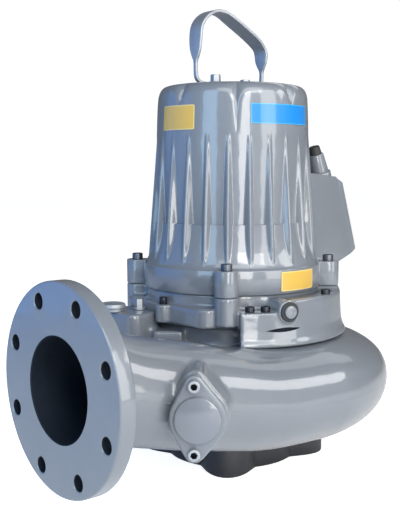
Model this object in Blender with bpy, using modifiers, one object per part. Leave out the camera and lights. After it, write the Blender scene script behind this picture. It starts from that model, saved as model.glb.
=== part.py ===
"""A submersible sewage pump that stands on four feet, with its outlet flange to the side.

Everything is laid out round the pump's upright axis. The outlet faces -X, the
connection box is on the +X side and the scroll turns clockwise seen from above.
All sizes are in metres.
"""
import math

import bmesh
import bpy
from mathutils import Matrix, Vector

# Place of the pump's axis, so that the origin lies under the middle of the whole object
AXIS_X = 0.0880
AXIS_Y = 0.0212

# Clearance between two pieces that touch
GAP = 0.0003

# Suction base
BASE_TOP = 0.052
BASE_RING_RADIUS = 0.112
BASE_BORE = 0.079
FOOT_REACH = 0.158
FOOT_HALF_ANGLE = math.radians(25)
CORNER_ANGLES = [math.radians(a) for a in (45, 135, 225, 315)]

# Wear ring at the inlet
WEAR_RING_BORE = 0.070
WEAR_RING_TOP = 0.074
WEAR_RING_FOOT = 0.020

# Scroll of the casing
SCROLL_EQUATOR = 0.142
SCROLL_RADIUS = 0.159
SCROLL_RISE = 0.073
SCROLL_DROP = 0.086
SCROLL_REACH_START = 0.240
SCROLL_REACH_END = 0.270
SCROLL_START = math.radians(212)
SCROLL_END = math.radians(-90)
SCROLL_STEPS = 22
SCROLL_SIDES = 20
CASING_WALL = 0.012
CASING_CORE_RADIUS = 0.156
CASING_NECK_RADIUS = 0.138
CASING_NECK_TOP = 0.239
CHAMBER_RADIUS = 0.120
CHAMBER_FLOOR = 0.076

# Outlet pipe and its flange
OUTLET_Y = -0.150
OUTLET_Z = 0.205
OUTLET_RADIUS = 0.083
OUTLET_BORE = 0.070
FLANGE_FACE_X = -0.4376
FLANGE_THICKNESS = 0.024
FLANGE_RADIUS = 0.1420
FLANGE_HOLE_CIRCLE = 0.120
FLANGE_HOLE_RADIUS = 0.011
FLANGE_HOLES = 8
PIPE_END_X = FLANGE_FACE_X + FLANGE_THICKNESS + GAP

# Shoulder of the casing on the outlet side, beside the neck, and a lower step in front of it
SHOULDER_TOP = 0.258
SHOULDER_FOOT = 0.170
SHOULDER_CORNERS = [(-0.212, 0.000, 0.016), (-0.1545, 0.008, 0.003), (-0.1545, 0.095, 0.003),
                    (-0.212, 0.095, 0.016)]
STEP_TOP = 0.232
STEP_FOOT = 0.160
STEP_OUTLINE = [(-0.170, 0.060), (-0.157, 0.017), (-0.184, -0.018), (-0.151, -0.049), (-0.130, -0.030),
                (-0.110, 0.060)]
SHOULDER_CAP_RADIUS = 0.018
SHOULDER_CAP_AT = (-0.208, 0.060)
SHOULDER_BOLT_AT = (-0.167, 0.043)

# Clean-out port on the outlet side of the scroll
PORT_ANGLE = math.radians(227.9)
PORT_REACH = 0.388
PORT_SIDE = -0.0435
PORT_Z = 0.167
PORT_BOSS_RADIUS = 0.038
PORT_LUG_RADIUS = 0.013
PORT_SCREW_OFFSET = 0.045
PORT_GASKET = 0.002
PORT_COVER = 0.014
PORT_DISC_RADIUS = 0.031
PORT_DISC = 0.006

# Oil housing between the casing and the motor
OIL_SPIGOT_FOOT = 0.192
OIL_NECK_RADIUS = 0.150
OIL_FLANGE_TOP = 0.261
OIL_CORE_RADIUS = 0.146
OIL_SHELL_RADIUS = 0.186
OIL_SHELL_FOOT_RADIUS = 0.196
OIL_SHELL_FOOT = 0.2160
OIL_SHELL_TOP = 0.269
OIL_SHELL_CREST = 0.287
LEDGE_FIRST = math.radians(222)
LEDGE_LAST = math.radians(251)
OIL_SHELL_HALF_ANGLE = math.radians(128)
SIDE_FLANGE = (0.243, 0.272)
SIDE_FLANGE_X = (-0.153, -0.060)
SIDE_FLANGE_HALF = 0.108
SIDE_FLANGE_CORNER = 0.024
SIDE_FLANGE_EDGE = 0.002
SIDE_SCREW_AT = (-0.155, -0.007)
SIDE_SCREW_BOSS = 0.013
LEDGE_SCREW_ANGLES = (math.radians(237.5), math.radians(246))
LEDGE_SCREW_CIRCLE = 0.168
SEAM = 0.292
LUG_CIRCLE = 0.1645
LUG_RADIUS = 0.0185
LUG_FOOT = 0.247
LUG_TOP = 0.333

# Oil plug on the shell's wall
PLUG_ANGLE = math.radians(255.7)
PLUG_Z = 0.270
PLUG_SEAT = 0.190
PLUG_BOSS_RADIUS = 0.018
PLUG_RADIUS = 0.0125
PLUG_RING_RADIUS = 0.0155

# Motor housing: its fins grow out of the barrel below the band, and ramps end between them at the foot
COLLAR_RADIUS = 0.151
COLLAR_TOP = 0.331
FIN_COUNT = 24
FIN_FOOT_RADIUS = 0.1435
FIN_FOOT = 0.352
FIN_TOP_RADIUS = 0.1286
FIN_TOP = 0.546
BARREL_FOOT_RADIUS = 0.1268
RAMP_TOP = 0.401
RAMP_FOOT_RADIUS = 0.1475
RAMP = [(0.1425, 0.343), (0.1372, 0.357), (0.1330, 0.376), (0.1305, 0.398), (BARREL_FOOT_RADIUS, RAMP_TOP)]

# Crown of the motor housing, with creases between its lobes: radius, height, depth and drop of the creases,
# and whether the plates' seats fill them there
CROWN_TOP = 0.626
CROWN_RADIUS = 0.108
CROWN = [(0.1267, 0.593, 0.0035, 0.0, True), (0.1262, 0.606, 0.0045, 0.007, False),
         (0.1238, 0.616, 0.0045, 0.007, False), (0.1170, 0.6235, 0.003, 0.004, False),
         (CROWN_RADIUS, CROWN_TOP, 0.0, 0.0, False)]
BAND_TOP_RADIUS = 0.1262
BAND_TOP = 0.606
LOBE_PITCH = math.radians(45)
FIRST_CREASE = math.radians(6)
BOX_SEAT_X = (0.080, 0.124)
BOX_SEAT_Y = (-0.052, 0.052)
BOX_SEAT_Z = (0.346, 0.478)

# Connection box on the +X side, with its cable gland
BOX_HALF_WIDTH = 0.060
BOX_OUTLINE = [(0.118, 0.342), (0.206, 0.322), (0.246, 0.338), (0.207, 0.460), (0.201, 0.475),
               (0.118, 0.483)]
BOX_COVER_THICKNESS = 0.012
BOX_SCREW_Y = 0.046
GLAND_BASE = Vector((0.183, -0.036, 0.4775))
GLAND_LEAN = math.radians(-19)
GLAND_RADIUS = 0.015
GLAND_LENGTH = 0.040
SLEEVE_RADIUS = 0.011
SLEEVE_LENGTH = 0.014

# Lifting handle, a flat bar bent in the XZ plane: x, z above the crown and half the bar's width
HANDLE_THICKNESS = 0.005
HANDLE_ROUTE = [
    (-0.024, 0.0025, 0.009), (-0.052, 0.0025, 0.009), (-0.062, 0.0028, 0.006),
    (-0.074, 0.006, 0.004), (-0.080, 0.014, 0.004), (-0.081, 0.036, 0.004),
    (-0.081, 0.046, 0.0085), (-0.081, 0.058, 0.013), (-0.0805, 0.076, 0.015),
    (-0.078, 0.096, 0.015), (-0.070, 0.110, 0.015), (-0.056, 0.118, 0.015),
    (-0.040, 0.1205, 0.015), (-0.022, 0.118, 0.015), (-0.003, 0.1100, 0.015),
    (0.022, 0.0975, 0.015), (0.044, 0.084, 0.015), (0.059, 0.070, 0.015),
    (0.0635, 0.060, 0.015), (0.0640, 0.047, 0.013), (0.0645, 0.038, 0.0085),
    (0.0648, 0.029, 0.004), (0.0640, 0.012, 0.004), (0.0580, 0.005, 0.004),
    (0.050, 0.0028, 0.006), (0.044, 0.0025, 0.009), (0.016, 0.0025, 0.009),
]
HANDLE_BOLTS = [(-0.038, 0.0135), (0.029, 0.009)]
HANDLE_BOLT_ACROSS = 0.015

# Plates on the housing: first angle, last angle, lower edge, upper edge
PLATE_THICKNESS = 0.0008
UPPER_LABEL = (math.radians(168), math.radians(200), 0.551, 0.590)
BLUE_PLATE = (math.radians(241), math.radians(296), 0.560, 0.591)
LOWER_LABEL = (math.radians(259), math.radians(288), 0.296, 0.327)


def clear_scene():
    for thing in list(bpy.data.objects):
        bpy.data.objects.remove(thing, do_unlink=True)


def new_collection(name):
    collection = bpy.data.collections.new(name)
    bpy.context.scene.collection.children.link(collection)
    return collection


def linear(hex_colour):
    """Turn an sRGB hex colour into the linear values that a shader takes."""
    channels = [int(hex_colour[i:i + 2], 16) / 255 for i in (1, 3, 5)]
    return [c / 12.92 if c <= 0.04045 else ((c + 0.055) / 1.055) ** 2.4 for c in channels] + [1.0]


def new_material(name, hex_colour, roughness, metallic):
    material = bpy.data.materials.new(name)
    material.use_nodes = True
    shader = material.node_tree.nodes["Principled BSDF"]
    shader.inputs["Base Color"].default_value = linear(hex_colour)
    shader.inputs["Roughness"].default_value = roughness
    shader.inputs["Metallic"].default_value = metallic
    material.diffuse_color = linear(hex_colour)
    return material


clear_scene()
PARTS = new_collection("submersible_pump")
CUTTERS = new_collection("cutters")
pump_axis = bpy.data.objects.new("pump_axis", None)
pump_axis.location = (AXIS_X, AXIS_Y, 0)
PARTS.objects.link(pump_axis)


def place(obj, collection, location=(0, 0, 0), rotation=(0, 0, 0)):
    """Link an object to a collection and hang it on the pump's axis."""
    collection.objects.link(obj)
    obj.parent = pump_axis
    obj.location = location
    obj.rotation_euler = rotation
    return obj


def as_cutter(obj):
    """Hide a shape that only serves to cut or join another."""
    obj.hide_render = True
    obj.display_type = "WIRE"
    return obj


def finish_piece(obj, material, smooth_angle=math.radians(35)):
    obj.data.materials.append(material)
    obj.data.shade_smooth()
    obj.data.set_sharp_from_angle(angle=smooth_angle)
    return obj


def mesh_from(name, build):
    """Make a mesh by calling build on an empty bmesh, with its normals turned outwards."""
    mesh = bpy.data.meshes.new(name)
    bm = bmesh.new()
    build(bm)
    bmesh.ops.recalc_face_normals(bm, faces=bm.faces)
    if bm.calc_volume(signed=True) < 0:
        bmesh.ops.reverse_faces(bm, faces=bm.faces)
    bm.to_mesh(mesh)
    bm.free()
    return mesh


def cylinder_mesh(name, radius, low, high, segments=32, top_radius=None):
    """An upright cylinder, or a cone, from z = low to z = high."""
    def build(bm):
        bmesh.ops.create_cone(
            bm, cap_ends=True, segments=segments, radius1=radius,
            radius2=radius if top_radius is None else top_radius, depth=high - low,
            matrix=Matrix.Translation((0, 0, (low + high) / 2)))
    return mesh_from(name, build)


def block_mesh(name, x, y, z):
    """A box between two values of x, of y and of z."""
    def build(bm):
        centre = Vector(((x[0] + x[1]) / 2, (y[0] + y[1]) / 2, (z[0] + z[1]) / 2))
        size = Matrix.Diagonal((x[1] - x[0], y[1] - y[0], z[1] - z[0], 1))
        bmesh.ops.create_cube(bm, size=1, matrix=Matrix.Translation(centre) @ size)
    return mesh_from(name, build)


def loft_mesh(name, rings):
    """Skin closed rings that all have the same number of points, and cap both ends."""
    def build(bm):
        rows = [[bm.verts.new(p) for p in ring] for ring in rings]
        sides = len(rows[0])
        for row, following in zip(rows, rows[1:]):
            for i in range(sides):
                j = (i + 1) % sides
                bm.faces.new((row[i], row[j], following[j], following[i]))
        bm.faces.new(rows[0])
        bm.faces.new(rows[-1])
    return mesh_from(name, build)


def outline_mesh(name, points, low, high):
    """A flat outline in the XY plane, filled and given its thickness from low to high."""
    curve = bpy.data.curves.new(name, "CURVE")
    curve.dimensions = "2D"
    curve.fill_mode = "BOTH"
    curve.extrude = (high - low) / 2
    spline = curve.splines.new("POLY")
    spline.points.add(len(points) - 1)
    for point, (x, y) in zip(spline.points, points):
        point.co = (x, y, 0, 1)
    spline.use_cyclic_u = True
    carrier = bpy.data.objects.new(name, curve)
    bpy.context.scene.collection.objects.link(carrier)
    depsgraph = bpy.context.evaluated_depsgraph_get()
    mesh = bpy.data.meshes.new_from_object(carrier.evaluated_get(depsgraph))
    bpy.data.objects.remove(carrier, do_unlink=True)
    bpy.data.curves.remove(curve)
    bm = bmesh.new()
    bm.from_mesh(mesh)
    bmesh.ops.remove_doubles(bm, verts=bm.verts, dist=0.00001)
    bmesh.ops.translate(bm, verts=bm.verts, vec=(0, 0, (low + high) / 2))
    bmesh.ops.recalc_face_normals(bm, faces=bm.faces)
    bm.to_mesh(mesh)
    bm.free()
    return mesh


def turned(name, profile, collection, steps=64):
    """Turn a profile of (radius, height) points, which runs down its outer side, round the axis."""
    mesh = bpy.data.meshes.new(name)
    mesh.from_pydata([(r, 0, z) for r, z in profile], [(i, i + 1) for i in range(len(profile) - 1)], [])
    obj = place(bpy.data.objects.new(name, mesh), collection)
    screw = obj.modifiers.new("turn", "SCREW")
    screw.steps = steps
    screw.render_steps = steps
    screw.use_merge_vertices = True
    screw.merge_threshold = 0.00005
    return obj


def turned_ring(name, inner, outer, low, high, collection, steps=48):
    """A plain ring: its profile is a closed rectangle."""
    profile = [(outer, high), (outer, low), (inner, low), (inner, high), (outer, high)]
    obj = turned(name, profile[:-1], collection, steps)
    bm = bmesh.new()
    bm.from_mesh(obj.data)
    bm.verts.ensure_lookup_table()
    bm.edges.new((bm.verts[-1], bm.verts[0]))
    bm.to_mesh(obj.data)
    bm.free()
    return obj


def combine(obj, others, operation):
    """Join or cut an object with others, which are made cutters."""
    for other in others:
        as_cutter(other)
        boolean = obj.modifiers.new(operation.lower() + " " + other.name, "BOOLEAN")
        boolean.operation = operation
        boolean.solver = "EXACT"
        boolean.object = other


def tool(name, mesh, location=(0, 0, 0), rotation=(0, 0, 0)):
    """A cutter or a shape to be joined, from a mesh."""
    return place(bpy.data.objects.new(name, mesh), CUTTERS, location, rotation)


def polar(radius, angle, z=0.0):
    return Vector((radius * math.cos(angle), radius * math.sin(angle), z))


def blend(low, high, t):
    return low + (high - low) * t


def smooth(t):
    t = min(max(t, 0.0), 1.0)
    return t * t * (3 - 2 * t)


# Materials
CAST_GREY = new_material("grey enamel on cast iron", "#8d929a", 0.28, 0.0)
BASE_BLACK = new_material("black enamel on cast iron", "#2b2c30", 0.45, 0.0)
STAINLESS = new_material("stainless steel", "#b9bcc0", 0.3, 1.0)
DARK_STEEL = new_material("dark steel", "#3a3d42", 0.4, 1.0)
RUBBER = new_material("black rubber", "#1d1e20", 0.7, 0.0)
BLUE = new_material("blue plate", "#1e88e5", 0.35, 0.0)
YELLOW = new_material("yellow plate", "#e6c65a", 0.4, 0.0)
BRONZE = new_material("bronze", "#8c6a3c", 0.4, 1.0)


def section(centre, outward, reach, inner_reach, rise, drop):
    """An egg-shaped section: its points go round from the outer side over the top."""
    points = []
    for k in range(SCROLL_SIDES):
        a = 2 * math.pi * k / SCROLL_SIDES
        sideways = math.cos(a) * (reach if math.cos(a) > 0 else inner_reach)
        upright = math.sin(a) * (rise if math.sin(a) > 0 else drop)
        points.append(centre + outward * sideways + Vector((0, 0, upright)))
    return points


# Stations of the outlet, from the scroll to the flange: x, y, z, half width, rise, drop
OUTLET_STATIONS = [
    (0.0, -SCROLL_RADIUS, SCROLL_EQUATOR, SCROLL_REACH_END - SCROLL_RADIUS, SCROLL_RISE, SCROLL_DROP),
    (-0.110, -0.157, 0.143, 0.103, 0.075, 0.082),
    (-0.220, -0.153, 0.160, 0.094, 0.081, 0.078),
    (-0.315, -0.151, 0.183, 0.086, 0.079, 0.078),
    (-0.375, OUTLET_Y, 0.200, OUTLET_RADIUS, OUTLET_RADIUS, 0.080),
    (-0.405, OUTLET_Y, OUTLET_Z, OUTLET_RADIUS, OUTLET_RADIUS, OUTLET_RADIUS),
]
OUTLET_STEPS_BETWEEN = 3


def outlet_values():
    """Stations eased with a Catmull-Rom curve, so that the pipe has no kinks."""
    stations = OUTLET_STATIONS
    values = []
    for i in range(len(stations) - 1):
        before = stations[max(i - 1, 0)]
        after = stations[min(i + 2, len(stations) - 1)]
        for s in range(OUTLET_STEPS_BETWEEN):
            t = s / OUTLET_STEPS_BETWEEN
            row = []
            for p0, p1, p2, p3 in zip(before, stations[i], stations[i + 1], after):
                row.append(0.5 * (2 * p1 + (p2 - p0) * t + (2 * p0 - 5 * p1 + 4 * p2 - p3) * t * t
                                  + (3 * p1 - p0 - 3 * p2 + p3) * t ** 3))
            values.append(row)
    values.append(stations[-1])
    return values


def passage_rings(wall, past_flange):
    """Rings of the scroll and the outlet, from the tongue round to the flange, less a wall."""
    rings = []
    for k in range(SCROLL_STEPS):
        t = k / SCROLL_STEPS
        angle = blend(SCROLL_START, SCROLL_END, t)
        reach = blend(SCROLL_REACH_START, SCROLL_REACH_END, t) - SCROLL_RADIUS - wall
        grow = blend(0.86, 1.0, smooth(2 * t))
        centre = polar(SCROLL_RADIUS, angle, SCROLL_EQUATOR)
        rings.append(section(centre, polar(1, angle), reach, reach, SCROLL_RISE * grow - wall,
                             SCROLL_DROP * grow - wall))
    for x, y, z, width, rise, drop in outlet_values():
        rings.append(section(Vector((x, y, z)), Vector((0, -1, 0)), width - wall, width - wall,
                             rise - wall, drop - wall))
    last = [p + Vector((past_flange, 0, 0)) for p in rings[-1]]
    return rings + [last]


def passage_halves(wall, past_flange):
    """The tongue half and the outlet half of the passage, which share the ring between them."""
    rings = passage_rings(wall, past_flange)
    middle = SCROLL_STEPS // 2
    return rings[:middle + 1], rings[middle:]


def rounded_outline(corners):
    """A polygon from corners of x, y and radius: each corner is an arc between its two sides."""
    points = []
    for i, (x, y, radius) in enumerate(corners):
        here = Vector((x, y))
        before = (Vector(corners[i - 1][:2]) - here).normalized()
        after = (Vector(corners[(i + 1) % len(corners)][:2]) - here).normalized()
        half = before.angle(after) / 2
        centre = here + (before + after).normalized() * (radius / math.sin(half))
        start = here + before * (radius / math.tan(half)) - centre
        end = here + after * (radius / math.tan(half)) - centre
        for k in range(7):
            points.append(tuple(centre + start.normalized().slerp(end.normalized(), k / 6) * radius))
    return points


def casing():
    tongue_half, outlet_half = passage_halves(0, PIPE_END_X - OUTLET_STATIONS[-1][0])
    body = place(bpy.data.objects.new("volute_casing", loft_mesh("volute_casing", outlet_half)), PARTS)
    scroll = tool("scroll start", loft_mesh("scroll start", tongue_half))
    core = turned("casing core", [
        (0, CASING_NECK_TOP - GAP), (CASING_NECK_RADIUS, CASING_NECK_TOP - GAP),
        (CASING_NECK_RADIUS, 0.208), (CASING_CORE_RADIUS, 0.202), (CASING_CORE_RADIUS, 0.062),
        (CASING_CORE_RADIUS - 0.010, BASE_TOP), (0, BASE_TOP)], CUTTERS)
    shoulder = tool("shoulder", outline_mesh(
        "shoulder", rounded_outline(SHOULDER_CORNERS), SHOULDER_FOOT, SHOULDER_TOP))
    step = tool("step", outline_mesh("step", STEP_OUTLINE, STEP_FOOT, STEP_TOP))
    outward = polar(1, PORT_ANGLE)
    sideways = polar(1, PORT_ANGLE + math.pi / 2)
    face = outward * PORT_REACH + sideways * PORT_SIDE + Vector((0, 0, PORT_Z))
    boss = tool("port boss", outline_mesh("port boss", port_outline(0.003), -0.110, 0.004), face,
                (0, math.pi / 2, PORT_ANGLE))
    combine(body, [scroll, core, shoulder, step, boss], "UNION")

    tongue_half, outlet_half = passage_halves(CASING_WALL, -0.02)
    passage = tool("passage", loft_mesh("passage", outlet_half))
    passage_start = tool("passage start", loft_mesh("passage start", tongue_half))
    chamber = turned("chamber", [
        (0, 0.30), (CHAMBER_RADIUS, 0.30), (CHAMBER_RADIUS, CHAMBER_FLOOR),
        (BASE_BORE, CHAMBER_FLOOR - 0.001), (BASE_BORE, 0.03), (0, 0.03)], CUTTERS, 48)
    seat = tool("oil housing seat", outline_mesh("oil housing seat", sector_outline(
        CASING_NECK_RADIUS + 0.003, OIL_SHELL_FOOT_RADIUS + GAP, OIL_SHELL_HALF_ANGLE + 0.003, 36),
        OIL_SHELL_FOOT - GAP, OIL_SHELL_TOP))
    spot_face = tool("port spot face", outline_mesh("port spot face", port_outline(0.005), 0, 0.060), face,
                     (0, math.pi / 2, PORT_ANGLE))
    combine(passage, [passage_start], "UNION")
    combine(body, [passage, chamber, seat, spot_face], "DIFFERENCE")
    finish_piece(body, CAST_GREY)


def outlet_flange():
    """The outlet's flange: a thick ring with eight bolt holes that straddle its upright centre line."""
    turn = (0, math.pi / 2, 0)
    centre = (FLANGE_FACE_X, OUTLET_Y, OUTLET_Z)
    disc = cylinder_mesh("outlet_flange", FLANGE_RADIUS, 0, FLANGE_THICKNESS, 64)
    flange = place(bpy.data.objects.new("outlet_flange", disc), PARTS, centre, turn)
    bore = cylinder_mesh("outlet bore", OUTLET_BORE, -0.02, FLANGE_THICKNESS + 0.02, 48)
    tools = [tool("outlet bore", bore, centre, turn)]
    for k in range(FLANGE_HOLES):
        angle = (k + 0.5) * 2 * math.pi / FLANGE_HOLES
        y = OUTLET_Y + FLANGE_HOLE_CIRCLE * math.cos(angle)
        z = OUTLET_Z + FLANGE_HOLE_CIRCLE * math.sin(angle)
        mesh = cylinder_mesh("flange hole", FLANGE_HOLE_RADIUS, -0.01, FLANGE_THICKNESS + 0.01, 16)
        tools.append(tool("flange hole %d" % (k + 1), mesh, (FLANGE_FACE_X, y, z), turn))
    combine(flange, tools, "DIFFERENCE")
    finish_piece(flange, CAST_GREY)


def port_outline(grow):
    """Outline of the port: a disc with a round lug above and below, joined by straight flanks."""
    big = PORT_BOSS_RADIUS + grow
    small = PORT_LUG_RADIUS + grow
    lean = math.acos((big - small) / PORT_SCREW_OFFSET)
    points = []
    arcs = ((PORT_SCREW_OFFSET, small, 0.0, lean), (0.0, big, math.pi / 2, math.pi / 2 - lean),
            (-PORT_SCREW_OFFSET, small, math.pi, lean), (0.0, big, 3 * math.pi / 2, math.pi / 2 - lean))
    for centre, radius, middle, half in arcs:
        for k in range(9):
            a = middle - half + 2 * half * k / 8
            points.append((-(centre + radius * math.cos(a)), radius * math.sin(a)))
    return points


def along_port(depth):
    """A point on the port's own axis, at some distance from the pump's axis."""
    return (polar(1, PORT_ANGLE) * (PORT_REACH + depth) + polar(1, PORT_ANGLE + math.pi / 2) * PORT_SIDE
            + Vector((0, 0, PORT_Z)))


def port():
    """Gasket, cover and the two screws of the clean-out port."""
    turn = (0, math.pi / 2, PORT_ANGLE)
    gasket = place(bpy.data.objects.new("port_gasket", outline_mesh(
        "port_gasket", port_outline(-0.001), GAP, PORT_GASKET)), PARTS, along_port(0), turn)
    finish_piece(gasket, RUBBER)
    cover = place(bpy.data.objects.new("port_cover", outline_mesh(
        "port_cover", port_outline(0), PORT_GASKET + GAP, PORT_COVER)), PARTS, along_port(0), turn)
    disc = tool("port disc", cylinder_mesh("port disc", PORT_DISC_RADIUS, PORT_COVER - 0.004,
                                           PORT_COVER + PORT_DISC, 48), along_port(0), turn)
    combine(cover, [disc], "UNION")
    finish_piece(cover, CAST_GREY)
    for number, side in ((1, 1), (2, -1)):
        spot = along_port(PORT_COVER + GAP) + Vector((0, 0, side * PORT_SCREW_OFFSET))
        screw("port_screw_%d" % number, spot, turn, 0.008, 0.008, STAINLESS)


def screw(name, location, rotation, radius, height, material, segments=16):
    """The head of a socket screw, with its hexagon socket, seated at its location."""
    head = place(bpy.data.objects.new(name, cylinder_mesh(name, radius, 0, height, segments)), PARTS,
                 location, rotation)
    socket = tool(name + " socket", cylinder_mesh(name + " socket", radius * 0.52, height * 0.45,
                                                  height * 1.5, 6), location, rotation)
    combine(head, [socket], "DIFFERENCE")
    finish_piece(head, material)


def hex_bolt(name, location, across, height, material):
    """A hexagon head on a round washer, seated at its location."""
    head = place(bpy.data.objects.new(name, cylinder_mesh(name, across / math.sqrt(3), 0.002, height, 6)),
                 PARTS, location)
    washer = tool(name + " washer", cylinder_mesh(name + " washer", across * 0.68, 0, 0.003, 24), location)
    combine(head, [washer], "UNION")
    finish_piece(head, material, math.radians(25))


def suction_base():
    """The black base: a ring on four round feet, open in the middle."""
    outline = []
    count = 72
    for k in range(count):
        angle = 2 * math.pi * k / count
        off = min(abs((angle - c + math.pi) % (2 * math.pi) - math.pi) for c in CORNER_ANGLES)
        bump = 0.5 + 0.5 * math.cos(math.pi * min(off / FOOT_HALF_ANGLE, 1))
        radius = BASE_RING_RADIUS + (FOOT_REACH - BASE_RING_RADIUS) * bump ** 0.7
        outline.append(polar(radius, angle)[:2])
    base = place(bpy.data.objects.new("suction_base", outline_mesh(
        "suction_base", outline, 0, BASE_TOP - GAP)), PARTS)
    bore = tool("base bore", cylinder_mesh("base bore", BASE_BORE + GAP, -0.01, BASE_TOP + 0.01, 48))
    combine(base, [bore], "DIFFERENCE")
    finish_piece(base, BASE_BLACK)
    ring = turned_ring("wear_ring", WEAR_RING_BORE, BASE_BORE - GAP, WEAR_RING_FOOT, WEAR_RING_TOP, PARTS)
    finish_piece(ring, STAINLESS)
    for number, angle in enumerate(CORNER_ANGLES, 1):
        recess = cylinder_mesh("foot recess", 0.0095, -0.01, 0.012, 16)
        cut = tool("foot recess %d" % number, recess, polar(0.136, angle))
        combine(base, [cut], "DIFFERENCE")


def impeller():
    """The impeller in its chamber, which shows through the inlet."""
    wheel = turned("impeller", [
        (0, OIL_SPIGOT_FOOT - GAP), (0.032, OIL_SPIGOT_FOOT - GAP), (0.034, 0.186), (0.090, 0.184),
        (0.090, 0.174), (0.040, 0.170), (0.030, 0.140), (0.024, 0.112), (0, 0.110)], PARTS, 48)
    vanes = []
    for k in range(3):
        start = 2 * math.pi * k / 3
        inner = []
        outer = []
        for s in range(9):
            t = s / 8
            angle = start - 1.9 * t
            radius = blend(0.026, 0.088, t)
            inner.append(polar(radius - 0.0035, angle)[:2])
            outer.append(polar(radius + 0.0035 if s < 8 else radius, angle)[:2])
        mesh = outline_mesh("vane", inner + outer[::-1], 0.104, 0.178)
        vanes.append(tool("vane %d" % (k + 1), mesh))
    combine(wheel, vanes, "UNION")
    finish_piece(wheel, BRONZE)
    screw("impeller_screw", (0, 0, 0.110 - GAP), (math.pi, 0, 0), 0.012, 0.010, STAINLESS, 24)


def sector_outline(inner, outer, half_angle, count):
    """A ring sector round +X, from one side over to the other."""
    points = [polar(outer, -half_angle + 2 * half_angle * k / count)[:2] for k in range(count + 1)]
    points += [polar(inner, half_angle - 2 * half_angle * k / count)[:2] for k in range(count + 1)]
    return points


def side_flange_outline():
    """The flat-sided flange towards the outlet: a rectangle with its two outer corners rounded."""
    flat, inside = SIDE_FLANGE_X
    return rounded_outline([
        (inside, SIDE_FLANGE_HALF, SIDE_FLANGE_EDGE), (flat, SIDE_FLANGE_HALF, SIDE_FLANGE_CORNER),
        (flat, -SIDE_FLANGE_HALF, SIDE_FLANGE_CORNER), (inside, -SIDE_FLANGE_HALF, SIDE_FLANGE_EDGE)])


def lugs(name, low, high):
    """Four round lugs with webs, to be joined to a housing."""
    shapes = []
    for number, angle in enumerate(CORNER_ANGLES, 1):
        outline = [polar(LUG_RADIUS, -math.pi / 2 + math.pi * k / 10)[:2] for k in range(11)]
        outline += [(-0.040, LUG_RADIUS), (-0.040, -LUG_RADIUS)]
        mesh = outline_mesh(name, outline, low, high)
        shapes.append(tool("%s %d" % (name, number), mesh, polar(LUG_CIRCLE, angle), (0, 0, angle)))
    return shapes


def oil_housing():
    body = turned("oil_housing", [
        (0, SEAM - GAP), (OIL_CORE_RADIUS, SEAM - GAP), (OIL_CORE_RADIUS, OIL_FLANGE_TOP),
        (OIL_NECK_RADIUS, OIL_FLANGE_TOP - 0.001), (OIL_NECK_RADIUS, CASING_NECK_TOP),
        (CHAMBER_RADIUS - GAP, CASING_NECK_TOP), (CHAMBER_RADIUS - GAP, OIL_SPIGOT_FOOT),
        (0, OIL_SPIGOT_FOOT)], PARTS)
    rings = []
    for radius, z in ((OIL_SHELL_FOOT_RADIUS, OIL_SHELL_FOOT), (OIL_SHELL_RADIUS + 0.004, 0.228),
                      (OIL_SHELL_RADIUS, OIL_SHELL_TOP), (OIL_SHELL_RADIUS - 0.001, OIL_SHELL_CREST)):
        outline = sector_outline(CASING_NECK_RADIUS + 0.0035, radius, OIL_SHELL_HALF_ANGLE, 36)
        rings.append([Vector((x, y, z)) for x, y in outline])
    shell = tool("oil shell", loft_mesh("oil shell", rings))
    pocket = tool("ledge", outline_mesh("ledge", [
        polar(0.149, LEDGE_FIRST)[:2], polar(0.230, LEDGE_FIRST)[:2], polar(0.230, LEDGE_LAST)[:2],
        polar(0.149, LEDGE_LAST)[:2]], OIL_SHELL_TOP, OIL_SHELL_CREST + 0.02))
    combine(shell, [pocket], "DIFFERENCE")
    turn = (0, math.pi / 2, PLUG_ANGLE)
    boss = cylinder_mesh("plug boss", PLUG_BOSS_RADIUS, OIL_NECK_RADIUS, PLUG_SEAT, 32)
    side = tool("side flange", outline_mesh("side flange", side_flange_outline(), *SIDE_FLANGE))
    side_boss = cylinder_mesh("side boss", SIDE_SCREW_BOSS, *SIDE_FLANGE)
    joined = [shell, side, tool("plug boss", boss, (0, 0, PLUG_Z), turn),
              tool("side boss", side_boss, (*SIDE_SCREW_AT, 0))]
    combine(body, joined + lugs("oil lug", LUG_FOOT, SEAM - GAP), "UNION")
    finish_piece(body, CAST_GREY)

    seat = polar(PLUG_SEAT + GAP, PLUG_ANGLE, PLUG_Z)
    ring = place(bpy.data.objects.new("oil_plug_ring", cylinder_mesh(
        "oil_plug_ring", PLUG_RING_RADIUS, 0, 0.003, 24)), PARTS, seat, turn)
    finish_piece(ring, RUBBER)
    screw("oil_plug", polar(PLUG_SEAT + 0.003 + 2 * GAP, PLUG_ANGLE, PLUG_Z), turn, PLUG_RADIUS, 0.003,
          STAINLESS, 24)
    for number, angle in enumerate(LEDGE_SCREW_ANGLES, 1):
        screw("ledge_screw_%d" % number, polar(LEDGE_SCREW_CIRCLE, angle, OIL_SHELL_TOP + GAP), (0, 0, 0),
              0.0075, 0.008, DARK_STEEL)


def casing_bolts():
    """Bolts on the casing's shoulder and on the housing's flange beside it."""
    top = SHOULDER_TOP + GAP
    button = place(bpy.data.objects.new("shoulder_cap", cylinder_mesh(
        "shoulder_cap", SHOULDER_CAP_RADIUS, 0, 0.009, 32, SHOULDER_CAP_RADIUS - 0.002)), PARTS,
        (*SHOULDER_CAP_AT, top))
    finish_piece(button, STAINLESS)
    hex_bolt("shoulder_bolt", (*SHOULDER_BOLT_AT, top), 0.015, 0.018, STAINLESS)
    screw("side_screw", (*SIDE_SCREW_AT, SIDE_FLANGE[1] + GAP), (0, 0, 0), 0.0065, 0.011, DARK_STEEL)


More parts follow.
